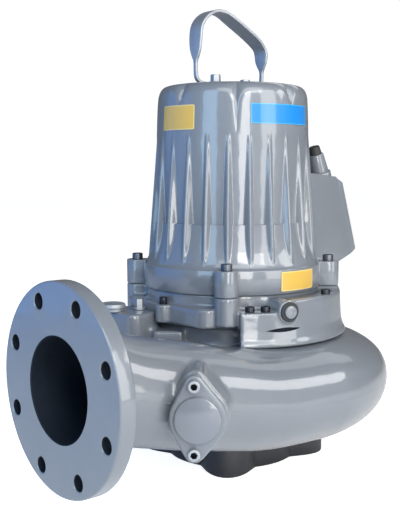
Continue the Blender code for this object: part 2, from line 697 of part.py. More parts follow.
def crest_radius(z):
    """Radius of the fins' crests, which run straight from the foot to the band."""
    return blend(FIN_FOOT_RADIUS, FIN_TOP_RADIUS, (z - FIN_FOOT) / (FIN_TOP - FIN_FOOT))


def crease(angle):
    """How near an angle is to a crease of the crown: 1 on the crease, 0 in the middle of a lobe."""
    share = ((angle - FIRST_CREASE) / LOBE_PITCH) % 1
    return abs(2 * share - 1) ** 4


def behind_plate(angle):
    """Whether an upper plate covers the crown at this angle: its seat fills the crease."""
    return any(first < angle < last for first, last, low, high in (UPPER_LABEL, BLUE_PLATE))


def fin_ring(crest, barrel, z, lobe_depth=0.0, lobe_drop=0.0, seats=False):
    """One level of the housing: six points for each fin and the barrel beside it."""
    pitch = 2 * math.pi / FIN_COUNT
    ring = []
    for k in range(FIN_COUNT):
        for share, radius in ((-0.07, crest), (0.07, crest), (0.22, barrel), (0.4, barrel), (0.6, barrel),
                              (0.78, barrel)):
            angle = (k + share) * pitch
            fold = 0.0 if seats and behind_plate(angle) else crease(angle)
            ring.append(polar(radius - lobe_depth * fold, angle, z - lobe_drop * fold))
    return ring


def motor_housing():
    collar = [(COLLAR_RADIUS, SEAM), (COLLAR_RADIUS, COLLAR_TOP), (RAMP_FOOT_RADIUS, COLLAR_TOP + 0.004)]
    rings = [fin_ring(radius, radius, z) for radius, z in collar]
    for radius, z in RAMP:
        rings.append(fin_ring(crest_radius(z), radius, z))
    rings.append(fin_ring(FIN_TOP_RADIUS, FIN_TOP_RADIUS, FIN_TOP))
    for radius, z, depth, drop, seats in CROWN:
        rings.append(fin_ring(radius, radius, z, depth, drop, seats))
    body = place(bpy.data.objects.new("motor_housing", loft_mesh("motor_housing", rings)), PARTS)
    seat = tool("box seat", block_mesh("box seat", BOX_SEAT_X, BOX_SEAT_Y, BOX_SEAT_Z))
    combine(body, lugs("motor lug", SEAM, LUG_TOP) + [seat], "UNION")
    finish_piece(body, CAST_GREY)
    for number, angle in enumerate(CORNER_ANGLES, 1):
        screw("housing_bolt_%d" % number, polar(LUG_CIRCLE, angle, LUG_TOP + GAP), (0, 0, 0), 0.009, 0.010,
              DARK_STEEL)


def connection_box():
    """The box that the cable enters, its slanted cover, the screws and the cable gland."""
    upright = (math.pi / 2, 0, 0)
    box = place(bpy.data.objects.new("connection_box", outline_mesh(
        "connection_box", BOX_OUTLINE, -BOX_HALF_WIDTH, BOX_HALF_WIDTH)), PARTS, (0, 0, 0), upright)
    low = Vector(BOX_OUTLINE[2])
    high = Vector(BOX_OUTLINE[3])
    slope = (high - low).normalized()
    outward = Vector((slope.y, -slope.x))
    corners = [low + outward * GAP, low + outward * BOX_COVER_THICKNESS + slope * 0.004,
               high + outward * BOX_COVER_THICKNESS - slope * 0.004, high + outward * GAP]
    half = BOX_HALF_WIDTH - 0.001
    lid = outline_mesh("connection_box_cover", [tuple(c) for c in corners], -half, half)
    cover = place(bpy.data.objects.new("connection_box_cover", lid), PARTS, (0, 0, 0), upright)
    carve = tool("housing behind the box", cylinder_mesh(
        "housing behind the box", FIN_FOOT_RADIUS + 0.0105, 0.28, FIN_TOP, 96, FIN_TOP_RADIUS + 0.0005))
    combine(box, [carve], "DIFFERENCE")
    finish_piece(box, CAST_GREY)
    finish_piece(cover, CAST_GREY)
    lean = math.atan2(outward.x, outward.y)
    number = 0
    for share in (0.12, 0.88):
        for y in (-BOX_SCREW_Y, BOX_SCREW_Y):
            number += 1
            spot = low.lerp(high, share) + outward * (BOX_COVER_THICKNESS + GAP)
            screw("box_screw_%d" % number, (spot.x, y, spot.y), (0, lean, 0), 0.0065, 0.007, STAINLESS)
    turn = Matrix.Rotation(GLAND_LEAN, 3, "Y")
    nut = place(bpy.data.objects.new("cable_gland", cylinder_mesh(
        "cable_gland", GLAND_RADIUS, -0.010, GLAND_LENGTH, 24)), PARTS, GLAND_BASE, (0, GLAND_LEAN, 0))
    raised = [(x, z + 2 * GAP) for x, z in BOX_OUTLINE]
    below = outline_mesh("box below the gland", raised, -BOX_HALF_WIDTH, BOX_HALF_WIDTH)
    combine(nut, [tool("box below the gland", below, (0, 0, 0), upright)], "DIFFERENCE")
    finish_piece(nut, CAST_GREY)
    sleeve = place(bpy.data.objects.new("gland_sleeve", cylinder_mesh(
        "gland_sleeve", SLEEVE_RADIUS, 0, SLEEVE_LENGTH, 24, SLEEVE_RADIUS * 0.86)), PARTS,
        GLAND_BASE + turn @ Vector((0, 0, GLAND_LENGTH + GAP)), (0, GLAND_LEAN, 0))
    finish_piece(sleeve, RUBBER)


def handle():
    """The lifting handle: a flat bar, narrow at its feet, bent along its route, with its two bolts."""
    floor = CROWN_TOP + GAP
    route = [Vector((x, z + floor)) for x, z, half in HANDLE_ROUTE]
    rings = []
    for i, point in enumerate(route):
        back = point - route[i - 1] if i else route[1] - point
        ahead = route[i + 1] - point if i < len(route) - 1 else back
        along = (back.normalized() + ahead.normalized()).normalized()
        across = Vector((-along.y, along.x)) * (HANDLE_THICKNESS / 2)
        half = HANDLE_ROUTE[i][2]
        rings.append([Vector((point.x + side * across.x, y, point.y + side * across.y))
                      for side, y in ((1, -half), (1, half), (-1, half), (-1, -half))])
    bar = place(bpy.data.objects.new("lifting_handle", loft_mesh("lifting_handle", rings)), PARTS)
    finish_piece(bar, STAINLESS)
    for number, (x, height) in enumerate(HANDLE_BOLTS, 1):
        seat = (x, 0, floor + HANDLE_THICKNESS + GAP)
        hex_bolt("handle_bolt_%d" % number, seat, HANDLE_BOLT_ACROSS, height, STAINLESS)


def curved_plate(name, limits, radius_low, radius_high, material, count=14):
    """A thin plate that follows the round wall: an open surface that is given its thickness."""
    first, last, low, high = limits

    def build(bm):
        rows = []
        for radius, z in ((radius_low, low), (radius_high, high)):
            angles = [blend(first, last, k / count) for k in range(count + 1)]
            rows.append([bm.verts.new(polar(radius, angle, z)) for angle in angles])
        for k in range(count):
            bm.faces.new((rows[0][k], rows[0][k + 1], rows[1][k + 1], rows[1][k]))

    plate = place(bpy.data.objects.new(name, mesh_from(name, build)), PARTS)
    thicken = plate.modifiers.new("thickness", "SOLIDIFY")
    thicken.thickness = PLATE_THICKNESS
    thicken.offset = 1 if plate.data.polygons[0].normal.dot(plate.data.vertices[0].co) > 0 else -1
    finish_piece(plate, material)


def band_radius(z):
    return blend(FIN_TOP_RADIUS, BAND_TOP_RADIUS, (z - FIN_TOP) / (BAND_TOP - FIN_TOP))


def plates():
    for name, limits, material in (("upper_label", UPPER_LABEL, YELLOW), ("type_plate", BLUE_PLATE, BLUE)):
        curved_plate(name, limits, band_radius(limits[2]) + GAP, band_radius(limits[3]) + GAP, material)
    curved_plate("lower_label", LOWER_LABEL, COLLAR_RADIUS + GAP, COLLAR_RADIUS + GAP, YELLOW)


casing()
outlet_flange()
port()
suction_base()
impeller()
oil_housing()
casing_bolts()
motor_housing()
connection_box()
handle()
plates()
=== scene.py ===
# %% [markdown]
# # A submersible sewage pump in grey enamel
#
# This lesson dresses a plain CAD model of a submersible pump: a finned motor housing stands on an oil
# housing, that one on a scroll casing with a flanged outlet, and all of it on a black foot ring.
# The CAD model is loaded first, and stays where it is. Each step then makes one casting or one set of
# fasteners with the soft edges and the finish of the real ones, and puts it in the place of its CAD node.

# %% Load the CAD model
from contextlib import contextmanager
from math import acos, atan2, copysign, cos, hypot, pi, radians, sin, sqrt, tan

import bmesh
import bpy
from mathutils import Matrix, Vector


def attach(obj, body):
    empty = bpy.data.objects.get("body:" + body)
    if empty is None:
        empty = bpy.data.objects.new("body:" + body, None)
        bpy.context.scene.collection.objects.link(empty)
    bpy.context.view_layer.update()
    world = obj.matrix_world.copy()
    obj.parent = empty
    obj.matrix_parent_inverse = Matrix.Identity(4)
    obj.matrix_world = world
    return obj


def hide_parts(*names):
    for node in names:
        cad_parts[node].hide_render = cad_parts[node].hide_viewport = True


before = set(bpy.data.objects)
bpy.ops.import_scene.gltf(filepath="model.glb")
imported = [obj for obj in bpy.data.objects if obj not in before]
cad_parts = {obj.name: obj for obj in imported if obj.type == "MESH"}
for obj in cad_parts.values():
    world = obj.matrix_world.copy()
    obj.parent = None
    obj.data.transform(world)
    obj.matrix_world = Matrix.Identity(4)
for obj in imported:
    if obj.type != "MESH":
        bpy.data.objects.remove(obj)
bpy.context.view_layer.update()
print("CAD nodes:", len(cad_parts))

# %% [markdown]
# ## Where the pump stands
#
# Every casting here is round or nearly so, so it is easiest to draw each one about the pump's shaft and
# to move the finished mesh to the shaft's place. The move is put into the mesh itself, because the
# finished objects all sit at the origin, unturned, as the CAD nodes do.

# %% The shaft's place, and how a finished piece is handed over
SHAFT = Vector((0.0880, 0.0212, 0.0))


def as_object(shape, name=None):
    """Put a mesh into the scene as an object; an object comes back as it is."""
    if isinstance(shape, bpy.types.Object):
        return shape
    thing = bpy.data.objects.new(name or shape.name, shape)
    bpy.context.scene.collection.objects.link(thing)
    return thing


def take_out(*things):
    """Take helper objects out again."""
    for thing in things:
        bpy.data.objects.remove(thing, do_unlink=True)


def hand_over(piece, nodes, finish, crisp=35):
    """Move a piece to the shaft, smooth it, give it its finish and let it stand for CAD nodes."""
    piece = as_object(piece)
    piece.data.transform(Matrix.Translation(SHAFT))
    if not any(piece.data.materials):
        piece.data.materials.clear()
        piece.data.materials.append(finish)
    piece.data.shade_smooth()
    piece.data.set_sharp_from_angle(angle=radians(crisp))
    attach(piece, "root")
    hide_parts(*nodes)
    triangles = sum(len(p.vertices) - 2 for p in piece.data.polygons)
    print(piece.name, "stands for", ", ".join(nodes), "with", triangles, "triangles")


# %% [markdown]
# ## The finishes
#
# A shader is a small tree of nodes. One function adds a node, another sets or links its inputs, so that
# each finish below reads from top to bottom. Where an input is given a whole node, it takes that node's
# first output. Colours are written as the hex values of a paint chart and turned into the linear values
# that a shader takes.

# %% Helpers for nodes and colours
def wire(node, **inputs):
    """Set a node's inputs: numbers and colours are written in, sockets and other nodes are linked."""
    for key, value in inputs.items():
        name = key.replace("_", " ").strip()
        socket = node.inputs[int(name)] if name.isdigit() else node.inputs[name]
        if isinstance(value, bpy.types.Node):
            value = next(output for output in value.outputs if output.enabled)
        if isinstance(value, bpy.types.NodeSocket):
            node.id_data.links.new(value, socket)
        else:
            socket.default_value = value
    return node


def add(tree, kind, settings=None, **inputs):
    """Add a node: settings are its own values, the others are its inputs."""
    node = tree.nodes.new(kind)
    for key, value in (settings or {}).items():
        setattr(node, key, value)
    return wire(node, **inputs)


def maths(tree, operation, first, second):
    """A Math node with two inputs."""
    return add(tree, "ShaderNodeMath", {"operation": operation}, _0=first, _1=second)


def linear(hex_colour):
    channels = [int(hex_colour[i:i + 2], 16) / 255 for i in (1, 3, 5)]
    return [c / 12.92 if c <= 0.04045 else ((c + 0.055) / 1.055) ** 2.4 for c in channels] + [1.0]


def two_tones(tree, factor, low, high):
    """A colour between two, each a hex value, a linear colour or a node."""
    low, high = (linear(tone) if isinstance(tone, str) else tone for tone in (low, high))
    return add(tree, "ShaderNodeMix", {"data_type": "RGBA"}, Factor=factor, A=low, B=high)


def new_finish(name):
    finish = bpy.data.materials.new(name)
    finish.use_nodes = True
    tree = finish.node_tree
    return finish, tree, tree.nodes["Principled BSDF"]


# %% [markdown]
# ### Enamel on cast iron
#
# The castings are sprayed with a thick two-coat enamel. Under it lies a sand-cast skin, so the gloss has
# a shallow waviness (orange peel) about 5 mm across, and a slower unevenness of some 60 mm from the
# casting. The colour shifts a little in clouds as wide as a hand, and small specks of dust
# sit in the coat. The gloss itself is a clear coat over a duller ground. The waterway, the bolt holes
# and the drain slot have no grey coat, only a matt dark primer, kept near black as painted shade.

# %% Grey and black enamel, and the primer with painted shade
def sprayed_enamel(name, hex_light, hex_dark, ground_gloss, coat, ripple):
    finish, tree, shader = new_finish(name)
    place = add(tree, "ShaderNodeTexCoord").outputs["Object"]
    # clouds in the colour: a 90 mm pattern is 1 / 0.09 = 11 per metre
    clouds = add(tree, "ShaderNodeTexNoise", Vector=place, Scale=11.0, Detail=3.0, Roughness=0.55)
    # dust in the coat: specks of about 1.5 mm, far apart
    dust = add(tree, "ShaderNodeTexVoronoi", Vector=place, Scale=160.0)
    speck = add(tree, "ShaderNodeMapRange", Value=dust, From_Min=0.02, From_Max=0.10)
    # the ground under the coat is a little duller in the clouds' dark parts
    dull = add(tree, "ShaderNodeMapRange", Value=clouds, To_Min=ground_gloss + 0.06,
               To_Max=ground_gloss - 0.04)
    # orange peel of 5 mm (200 per metre) over castings' waves of 60 mm (16 per metre)
    peel = add(tree, "ShaderNodeTexNoise", Vector=place, Scale=200.0, Detail=1.0)
    waves = add(tree, "ShaderNodeTexNoise", Vector=place, Scale=16.0, Detail=2.0)
    slow = add(tree, "ShaderNodeBump", Height=waves, Strength=0.35 * ripple, Distance=0.004)
    fine = add(tree, "ShaderNodeBump", Height=peel, Strength=0.16 * ripple, Distance=0.0006, Normal=slow)
    grit = add(tree, "ShaderNodeBump", {"invert": True}, Height=speck, Strength=0.12 * ripple,
               Distance=0.0003, Normal=fine)
    wire(shader, Base_Color=two_tones(tree, clouds, hex_dark, hex_light), Roughness=dull, Normal=grit,
         IOR=1.5, Coat_Weight=coat, Coat_Roughness=0.07, Coat_Normal=slow)
    return finish


GREY_ENAMEL = sprayed_enamel("two-coat grey enamel on cast iron", "#6f747b", "#666b72", 0.34, 1.0, 1.0)
BLACK_ENAMEL = sprayed_enamel("black primer enamel on cast iron", "#303136", "#242529", 0.45, 0.25, 1.6)
# a dark primer whose near-black colour is also painted shade in the waterway, the bolt holes and the drain
# slot
PRIMER_PAINTED_SHADE = sprayed_enamel("dark primer in the waterway", "#1b222d", "#141a22", 0.7, 0.0, 2.5)
# the primer is matt, so that it stays dark where one looks along the waterway; its dark colour is painted
# shade in the casting's recesses
wire(PRIMER_PAINTED_SHADE.node_tree.nodes["Principled BSDF"], Specular_IOR_Level=0.15)
print("enamels:", GREY_ENAMEL.name, "/", BLACK_ENAMEL.name, "/", PRIMER_PAINTED_SHADE.name)

# %% [markdown]
# ### Steel, bronze, rubber and plates
#
# The handle and the bolts are stainless steel with a fine brushed grain. The socket screws are a dark
# phosphated steel, and those on the housing's lugs a paler one whose lighter tone is a painted reflection.
# The insides of the sockets are near black, as painted shade. Rubber is nearly matt with a fine pebble.
# The plates are printed film, so their colour is even and only the border is lighter: it is measured on
# the plate itself, from an attribute with each point's distance to the edge, so that it follows the wall.

# %% Metals, rubber and printed film
def metal(name, hex_light, hex_dark, roughness, grain_scale, stretch=(1.0, 1.0, 1.0)):
    """A metal whose grain is a noise, which can be stretched along one direction."""
    finish, tree, shader = new_finish(name)
    place = add(tree, "ShaderNodeTexCoord").outputs["Object"]
    long_way = add(tree, "ShaderNodeMapping", Vector=place, Scale=stretch)
    grain = add(tree, "ShaderNodeTexNoise", Vector=long_way, Scale=grain_scale, Detail=3.0)
    rough = add(tree, "ShaderNodeMapRange", Value=grain, To_Min=roughness - 0.08, To_Max=roughness + 0.10)
    bump = add(tree, "ShaderNodeBump", Height=grain, Strength=0.06, Distance=0.0001)
    wire(shader, Base_Color=two_tones(tree, grain, hex_dark, hex_light), Roughness=rough, Normal=bump,
         Metallic=1.0)
    return finish


# brushing lines of about 1 mm across and 20 mm along, coarser than the real 0.1 mm so that they show
STAINLESS = metal("brushed stainless steel", "#b9bcc0", "#9ea1a6", 0.62, 900.0, (0.06, 1.0, 0.06))
# the grain of the others is 2 mm, and 8 mm on the bronze
DARK_STEEL = metal("phosphated steel", "#4a4d52", "#2e3034", 0.42, 500.0)
# a lighter copy of the dark steel for the housing screws: the paler tone is a painted reflection
SCREW_STEEL_PAINTED_REFLECTION = metal("plain steel of the housing screws", "#74777d", "#505358", 0.42, 500.0)
# near-black steel inside the sockets: painted shade in the recess
SOCKET_PAINTED_SHADE = metal("oiled steel in the sockets", "#1f2022", "#121315", 0.5, 300.0)
BRONZE = metal("cast bronze", "#8f7048", "#6f5433", 0.45, 120.0)

RUBBER, tree, shader = new_finish("moulded rubber")
place = add(tree, "ShaderNodeTexCoord").outputs["Object"]
# a pebble of 0.8 mm, and a bloom of 17 mm in the tone
pebble = add(tree, "ShaderNodeTexNoise", Vector=place, Scale=1200.0, Detail=2.0)
bloom = add(tree, "ShaderNodeTexNoise", Vector=place, Scale=60.0)
bump = add(tree, "ShaderNodeBump", Height=pebble, Strength=0.3, Distance=0.0003)
wire(shader, Base_Color=two_tones(tree, bloom, "#17181a", "#2b2d30"), Normal=bump, Roughness=0.62)


def printed_film(name, hex_field, hex_border, border):
    """Film on a plate: the attribute from_edge says how far each point is from the plate's edge."""
    finish, tree, shader = new_finish(name)
    edge = add(tree, "ShaderNodeAttribute", {"attribute_name": "from_edge"})
    line = maths(tree, "LESS_THAN", edge.outputs["Fac"], border)
    place = add(tree, "ShaderNodeTexCoord").outputs["Object"]
    # the ink is mottled in spots of 11 mm
    mottle = add(tree, "ShaderNodeTexNoise", Vector=place, Scale=90.0, Detail=2.0)
    ink = two_tones(tree, mottle, [c * 0.94 for c in linear(hex_field)[:3]] + [1.0], hex_field)
    bump = add(tree, "ShaderNodeBump", Height=mottle, Strength=0.1, Distance=0.0005)
    wire(shader, Base_Color=two_tones(tree, line, ink, hex_border), Normal=bump, Roughness=0.3,
         Coat_Weight=0.5, Coat_Roughness=0.08)
    return finish


BLUE_FILM = printed_film("blue printed film", "#0f78c4", "#2f98d2", 0.0012)
YELLOW_FILM = printed_film("yellow printed film", "#c7a144", "#cdb878", 0.0016)
print("finishes:", len(bpy.data.materials))

# %% [markdown]
# ## Rings of points
#
# Most of the pump is skinned over rings of points, like a barrel over its hoops. These helpers turn
# polar places into vectors, and rings into a closed mesh. A Catmull-Rom curve runs through a few
# measured stations, so that a pipe bends without kinks. A mesh is always edited in the same frame: it
# is read into a bmesh, and written back at the end.

# %% Helpers for rings and solids
def polar(radius, angle, z=0.0):
    return Vector((radius * cos(angle), radius * sin(angle), z))


def mix(low, high, t):
    return low + (high - low) * t


def ease(t):
    t = min(max(t, 0.0), 1.0)
    return t * t * (3 - 2 * t)


def hoop(radius, z, count=96):
    """A level circle of points round the axis."""
    return [polar(radius, 2 * pi * i / count, z) for i in range(count)]


@contextmanager
def edited(mesh):
    """Open a mesh as a bmesh, and write it back at the end of the with block."""
    bm = bmesh.new()
    bm.from_mesh(mesh)
    yield bm
    bm.to_mesh(mesh)
    bm.free()


def skin(name, rings, closed=True, caps=True):
    """Quads between rings; closed rings run all the way round, caps close the first and last ring."""
    mesh = bpy.data.meshes.new(name)
    with edited(mesh) as bm:
        rows = [[bm.verts.new(p) for p in ring] for ring in rings]
        count = len(rows[0])
        for row, after in zip(rows, rows[1:]):
            for i in range(count if closed else count - 1):
                j = (i + 1) % count
                bm.faces.new((row[i], row[j], after[j], after[i]))
        if caps:
            bm.faces.new(rows[0])
            bm.faces.new(rows[-1])
        bmesh.ops.recalc_face_normals(bm, faces=bm.faces)
        if caps and bm.calc_volume(signed=True) < 0:
            bmesh.ops.reverse_faces(bm, faces=bm.faces)
    return mesh


def weld(mesh, distance):
    """Merge points that lie on each other, turn the faces outward, and count the edges left open."""
    with edited(mesh) as bm:
        bmesh.ops.remove_doubles(bm, verts=bm.verts, dist=distance)
        bmesh.ops.recalc_face_normals(bm, faces=bm.faces)
        return sum(edge.is_boundary for edge in bm.edges)


def turn_profile(name, profile, count=96):
    """A solid of revolution: the profile is (radius, height) points from its top to its foot on the axis."""
    return skin(name, [hoop(max(r, 0.00005), z, count) for r, z in profile])


def turn_ring(name, profile, count=96):
    """A solid of revolution with a hole: the profile runs round its section and closes on itself."""
    ring = skin(name, [hoop(r, z, count) for r, z in profile + profile[:1]], caps=False)
    weld(ring, 0.00001)
    return ring


def through(stations, steps):
    """Rows of numbers eased through the stations by a Catmull-Rom curve."""
    rows = []
    for i in range(len(stations) - 1):
        before = stations[max(i - 1, 0)]
        after = stations[min(i + 2, len(stations) - 1)]
        for s in range(steps):
            t = s / steps
            rows.append([0.5 * (2 * b + (c - a) * t + (2 * a - 5 * b + 4 * c - d) * t * t
                                + (3 * b - a - 3 * c + d) * t ** 3)
                         for a, b, c, d in zip(before, stations[i], stations[i + 1], after)])
    return rows + [list(stations[-1])]


def slab(name, outline, low, high, edge=0.0, segments=3):
    """A flat outline given its height, with its upper and lower edges rounded by a radius."""
    mesh = bpy.data.meshes.new(name)
    with edited(mesh) as bm:
        base = bm.faces.new([bm.verts.new((x, y, low)) for x, y in outline])
        top = bmesh.ops.extrude_face_region(bm, geom=[base])
        risen = [v for v in top["geom"] if isinstance(v, bmesh.types.BMVert)]
        bmesh.ops.translate(bm, vec=(0, 0, high - low), verts=risen)
        bmesh.ops.recalc_face_normals(bm, faces=bm.faces)
        if edge:
            flat = [e for e in bm.edges if abs(e.verts[0].co.z - e.verts[1].co.z) < 1e-6]
            bmesh.ops.bevel(bm, geom=flat, offset=edge, segments=segments, profile=0.5, affect="EDGES",
                            clamp_overlap=True)
    return mesh


def rounded(corners):
    """A polygon from corners of x, y and radius: each corner is an arc between its two sides."""
    steps = 6
    points = []
    for i, (x, y, radius) in enumerate(corners):
        here = Vector((x, y))
        before = (Vector(corners[i - 1][:2]) - here).normalized()
        after = (Vector(corners[(i + 1) % len(corners)][:2]) - here).normalized()
        half = before.angle(after) / 2
        centre = here + (before + after).normalized() * (radius / sin(half))
        start = (here + before * (radius / tan(half)) - centre).normalized()
        end = (here + after * (radius / tan(half)) - centre).normalized()
        points += [tuple(centre + start.slerp(end, k / steps) * radius) for k in range(steps + 1)]
    return points


def placed(mesh, matrix):
    """Move the points of a mesh."""
    mesh.transform(matrix)
    return mesh


def join_meshes(name, meshes):
    """Put several meshes, each with a matrix, into one."""
    joined = bpy.data.meshes.new(name)
    with edited(joined) as bm:
        for mesh, matrix in meshes:
            part = placed(mesh.copy(), matrix)
            bm.from_mesh(part)
            bpy.data.meshes.remove(part)
    return joined


# %% [markdown]
# The castings are simple shapes joined and cut with the exact Boolean solver. The walls that a cutter
# leaves take over the cutter's material, which is how the waterway gets its dark primer and painted shade.
# A casting's corners are never sharp, so a joined shape is divided into fine even cells and smoothed.

# %% Helpers that join, cut and smooth
def settle(thing):
    """Turn an object with modifiers into a plain mesh and take the modifiers off."""
    depsgraph = bpy.context.evaluated_depsgraph_get()
    mesh = bpy.data.meshes.new_from_object(thing.evaluated_get(depsgraph))
    thing.modifiers.clear()
    thing.data = mesh
    return thing


def boolean(thing, others, operation):
    """Join shapes to one, or cut them out of it; the shapes are meshes or objects."""
    thing = as_object(thing)
    others = [as_object(other) for other in others]
    for other in others:
        step = thing.modifiers.new(operation, "BOOLEAN")
        step.operation = operation
        step.solver = "EXACT"
        step.material_mode = "TRANSFER"
        step.object = other
    settle(thing)
    take_out(*others)
    return thing


def two_finishes(piece, outside, inside, is_inside):
    """Give the faces that is_inside picks a finish of their own."""
    picked = [is_inside(face) for face in piece.data.polygons]
    piece.data.materials.clear()
    for finish in (outside, inside):
        piece.data.materials.append(finish)
    for face, inner in zip(piece.data.polygons, picked):
        face.material_index = 1 if inner else 0
    print(piece.name, "has", sum(picked), "faces in", inside.name)


def cut_to_primer_and_shade(casting, cutters):
    """Cut a grey casting, and leave the walls of the cuts in the dark primer, which paints the shade in them.
    """
    casting.data.materials.append(GREY_ENAMEL)
    for cutter in cutters:
        cutter.data.materials.clear()
        cutter.data.materials.append(PRIMER_PAINTED_SHADE)
    boolean(casting, cutters, "DIFFERENCE")
    now = list(casting.data.materials)
    two_finishes(casting, GREY_ENAMEL, PRIMER_PAINTED_SHADE, lambda face: now[face.material_index] == PRIMER_PAINTED_SHADE)


def cast_skin(thing, grain, rounds):
    """Give sharp joined shapes the run-in corners of a casting: fine even cells, then smoothing."""
    cells = thing.modifiers.new("cells", "REMESH")
    cells.mode = "VOXEL"
    cells.voxel_size = grain
    melt = thing.modifiers.new("run-in corners", "SMOOTH")
    melt.factor = 0.5
    melt.iterations = rounds
    settle(thing)


print("helpers ready")

# %% [markdown]
# ## Geometry Nodes that repeat things
#
# Small trees do all the repeating. The first turns copies of a sector round the axis: one bay
# between two fins becomes the whole finned barrel, and one vane becomes an impeller. The second sets
# copies of a screw head on a set of points and turns each to the direction stored on its point. Both
# realize their instances and end in Set Material, and the result is turned into a plain mesh.

# %% A tree for sectors and one for fasteners
def new_tree(name, **inputs):
    """Start a tree with named inputs, and give back the tree and the sockets of its inputs."""
    tree = bpy.data.node_groups.new(name, "GeometryNodeTree")
    for label, kind in {"Geometry": "Geometry", **inputs}.items():
        tree.interface.new_socket(label.replace("_", " "), in_out="INPUT", socket_type="NodeSocket" + kind)
    tree.interface.new_socket("Geometry", in_out="OUTPUT", socket_type="NodeSocketGeometry")
    return tree, add(tree, "NodeGroupInput").outputs


def end_tree(tree, geometry, finish):
    """Set the finish of what a tree made, and send it out."""
    painted = add(tree, "GeometryNodeSetMaterial", Geometry=geometry, Material=finish)
    add(tree, "NodeGroupOutput", Geometry=painted)


def run_tree(name, source, tree, **values):
    """Run a tree on a mesh, with its inputs set by identifier, and keep the result as a plain mesh."""
    thing = as_object(source, name)
    nodes = thing.modifiers.new("nodes", "NODES")
    nodes.node_group = tree
    for item in tree.interface.items_tree:
        if item.in_out == "INPUT" and item.name.replace(" ", "_") in values:
            nodes[item.identifier] = values[item.name.replace(" ", "_")]
    thing.update_tag()
    return settle(thing)


SECTORS, given = new_tree("sectors round an axis", Count="Int", Merge_Distance="Float", Finish="Material")
slots = add(SECTORS, "GeometryNodeMeshLine", Count=given["Count"], Offset=(0, 0, 0))
index = add(SECTORS, "GeometryNodeInputIndex")
turn = maths(SECTORS, "MULTIPLY", index, maths(SECTORS, "DIVIDE", 2 * pi, given["Count"]))
round_z = add(SECTORS, "ShaderNodeCombineXYZ", Z=turn)
copies = add(SECTORS, "GeometryNodeInstanceOnPoints", Points=slots, Instance=given["Geometry"],
             Rotation=round_z)
solid = add(SECTORS, "GeometryNodeRealizeInstances", Geometry=copies)
welded = add(SECTORS, "GeometryNodeMergeByDistance", Geometry=solid, Distance=given["Merge Distance"])
end_tree(SECTORS, welded, given["Finish"])

FASTENERS, given = new_tree("heads on seats", Head="Object", Radius="Float", Height="Float",
                            Finish="Material")
facing = add(FASTENERS, "GeometryNodeInputNamedAttribute", {"data_type": "FLOAT_VECTOR"}, Name="facing")
aim = add(FASTENERS, "FunctionNodeAlignRotationToVector", {"axis": "Z"}, Vector=facing)
size = add(FASTENERS, "ShaderNodeCombineXYZ", X=given["Radius"], Y=given["Radius"], Z=given["Height"])
head = add(FASTENERS, "GeometryNodeObjectInfo", Object=given["Head"])
seats = add(FASTENERS, "GeometryNodeInstanceOnPoints", Points=given["Geometry"],
            Instance=head.outputs["Geometry"], Rotation=aim, Scale=size)
solid = add(FASTENERS, "GeometryNodeRealizeInstances", Geometry=seats)
end_tree(FASTENERS, solid, given["Finish"])
print("trees:", SECTORS.name, "/", FASTENERS.name)

# %% [markdown]
# ## Motor housing
#
# The housing is one casting: a collar at its foot, 24 fins that grow out of a slightly tapering barrel,
# a plain band, and a crown that is folded into eight shallow lobes. Between the fins, ramps rise from
# the collar and stop at a sharp ledge. All of it except the crown repeats every 15 degrees, so one bay
# is drawn from numbers and the sector tree turns it into the barrel. The crown and the foot plate are
# skinned on their own, share the barrel's last ring of points, and are welded to it.

# %% The numbers of the housing
SEAM = 0.292
COLLAR_RADIUS = 0.151
COLLAR_TOP = 0.331
FINS = 24
FIN_FOOT = (0.1435, 0.352)
FIN_TOP = (0.1286, 0.546)
BARREL_FOOT = (0.1268, 0.401)
RAMP = [(0.1480, 0.3325), (0.1450, 0.3375), (0.1415, 0.3465), (0.1372, 0.359), (0.1338, 0.374),
        (0.1318, 0.388), (0.1308, 0.398)]


def crest_line(z):
    return mix(FIN_FOOT[0], FIN_TOP[0], (z - FIN_FOOT[1]) / (FIN_TOP[1] - FIN_FOOT[1]))


def barrel_line(z):
    """Radius between the fins: the ramp below its ledge, the barrel above it."""
    if z >= BARREL_FOOT[1]:
        return mix(BARREL_FOOT[0], FIN_TOP[0], (z - BARREL_FOOT[1]) / (FIN_TOP[1] - BARREL_FOOT[1]))
    if z >= RAMP[-1][1]:
        return RAMP[-1][0]
    for (r0, z0), (r1, z1) in zip(RAMP, RAMP[1:]):
        if z0 <= z <= z1:
            return mix(r0, r1, (z - z0) / (z1 - z0))
    return RAMP[0][0]


SHARES = [0.5 * k / 24 for k in range(25)]
SHARES = [-s for s in SHARES[:0:-1]] + SHARES
BAY_ANGLES = [s * 2 * pi / FINS for s in SHARES]
HEIGHTS = [0.3345, 0.337, 0.340, 0.344, 0.348, 0.353, 0.359, 0.366, 0.374, 0.382, 0.390, 0.3965, 0.3995,
           0.4006, 0.4014, 0.403, 0.407, 0.413, 0.420]
HEIGHTS += [0.430 + 0.010 * k for k in range(10)] + [0.527, 0.533, 0.538, 0.542, 0.5445]


def bay_ring(z):
    """One level of a bay: half a valley, the fin with its rounded crest, and the other half valley."""
    ring = []
    low = barrel_line(z)
    high = max(crest_line(z), low)
    tall = high - low
    half_foot = 0.0040 + 0.0052 * min(tall / 0.014, 1)
    for angle in BAY_ANGLES:
        across = min(abs(angle) * low / half_foot, 1)
        rise = (0.5 + 0.5 * cos(pi * across)) ** 0.75
        ring.append(polar(low + tall * rise, angle, z))
    return ring


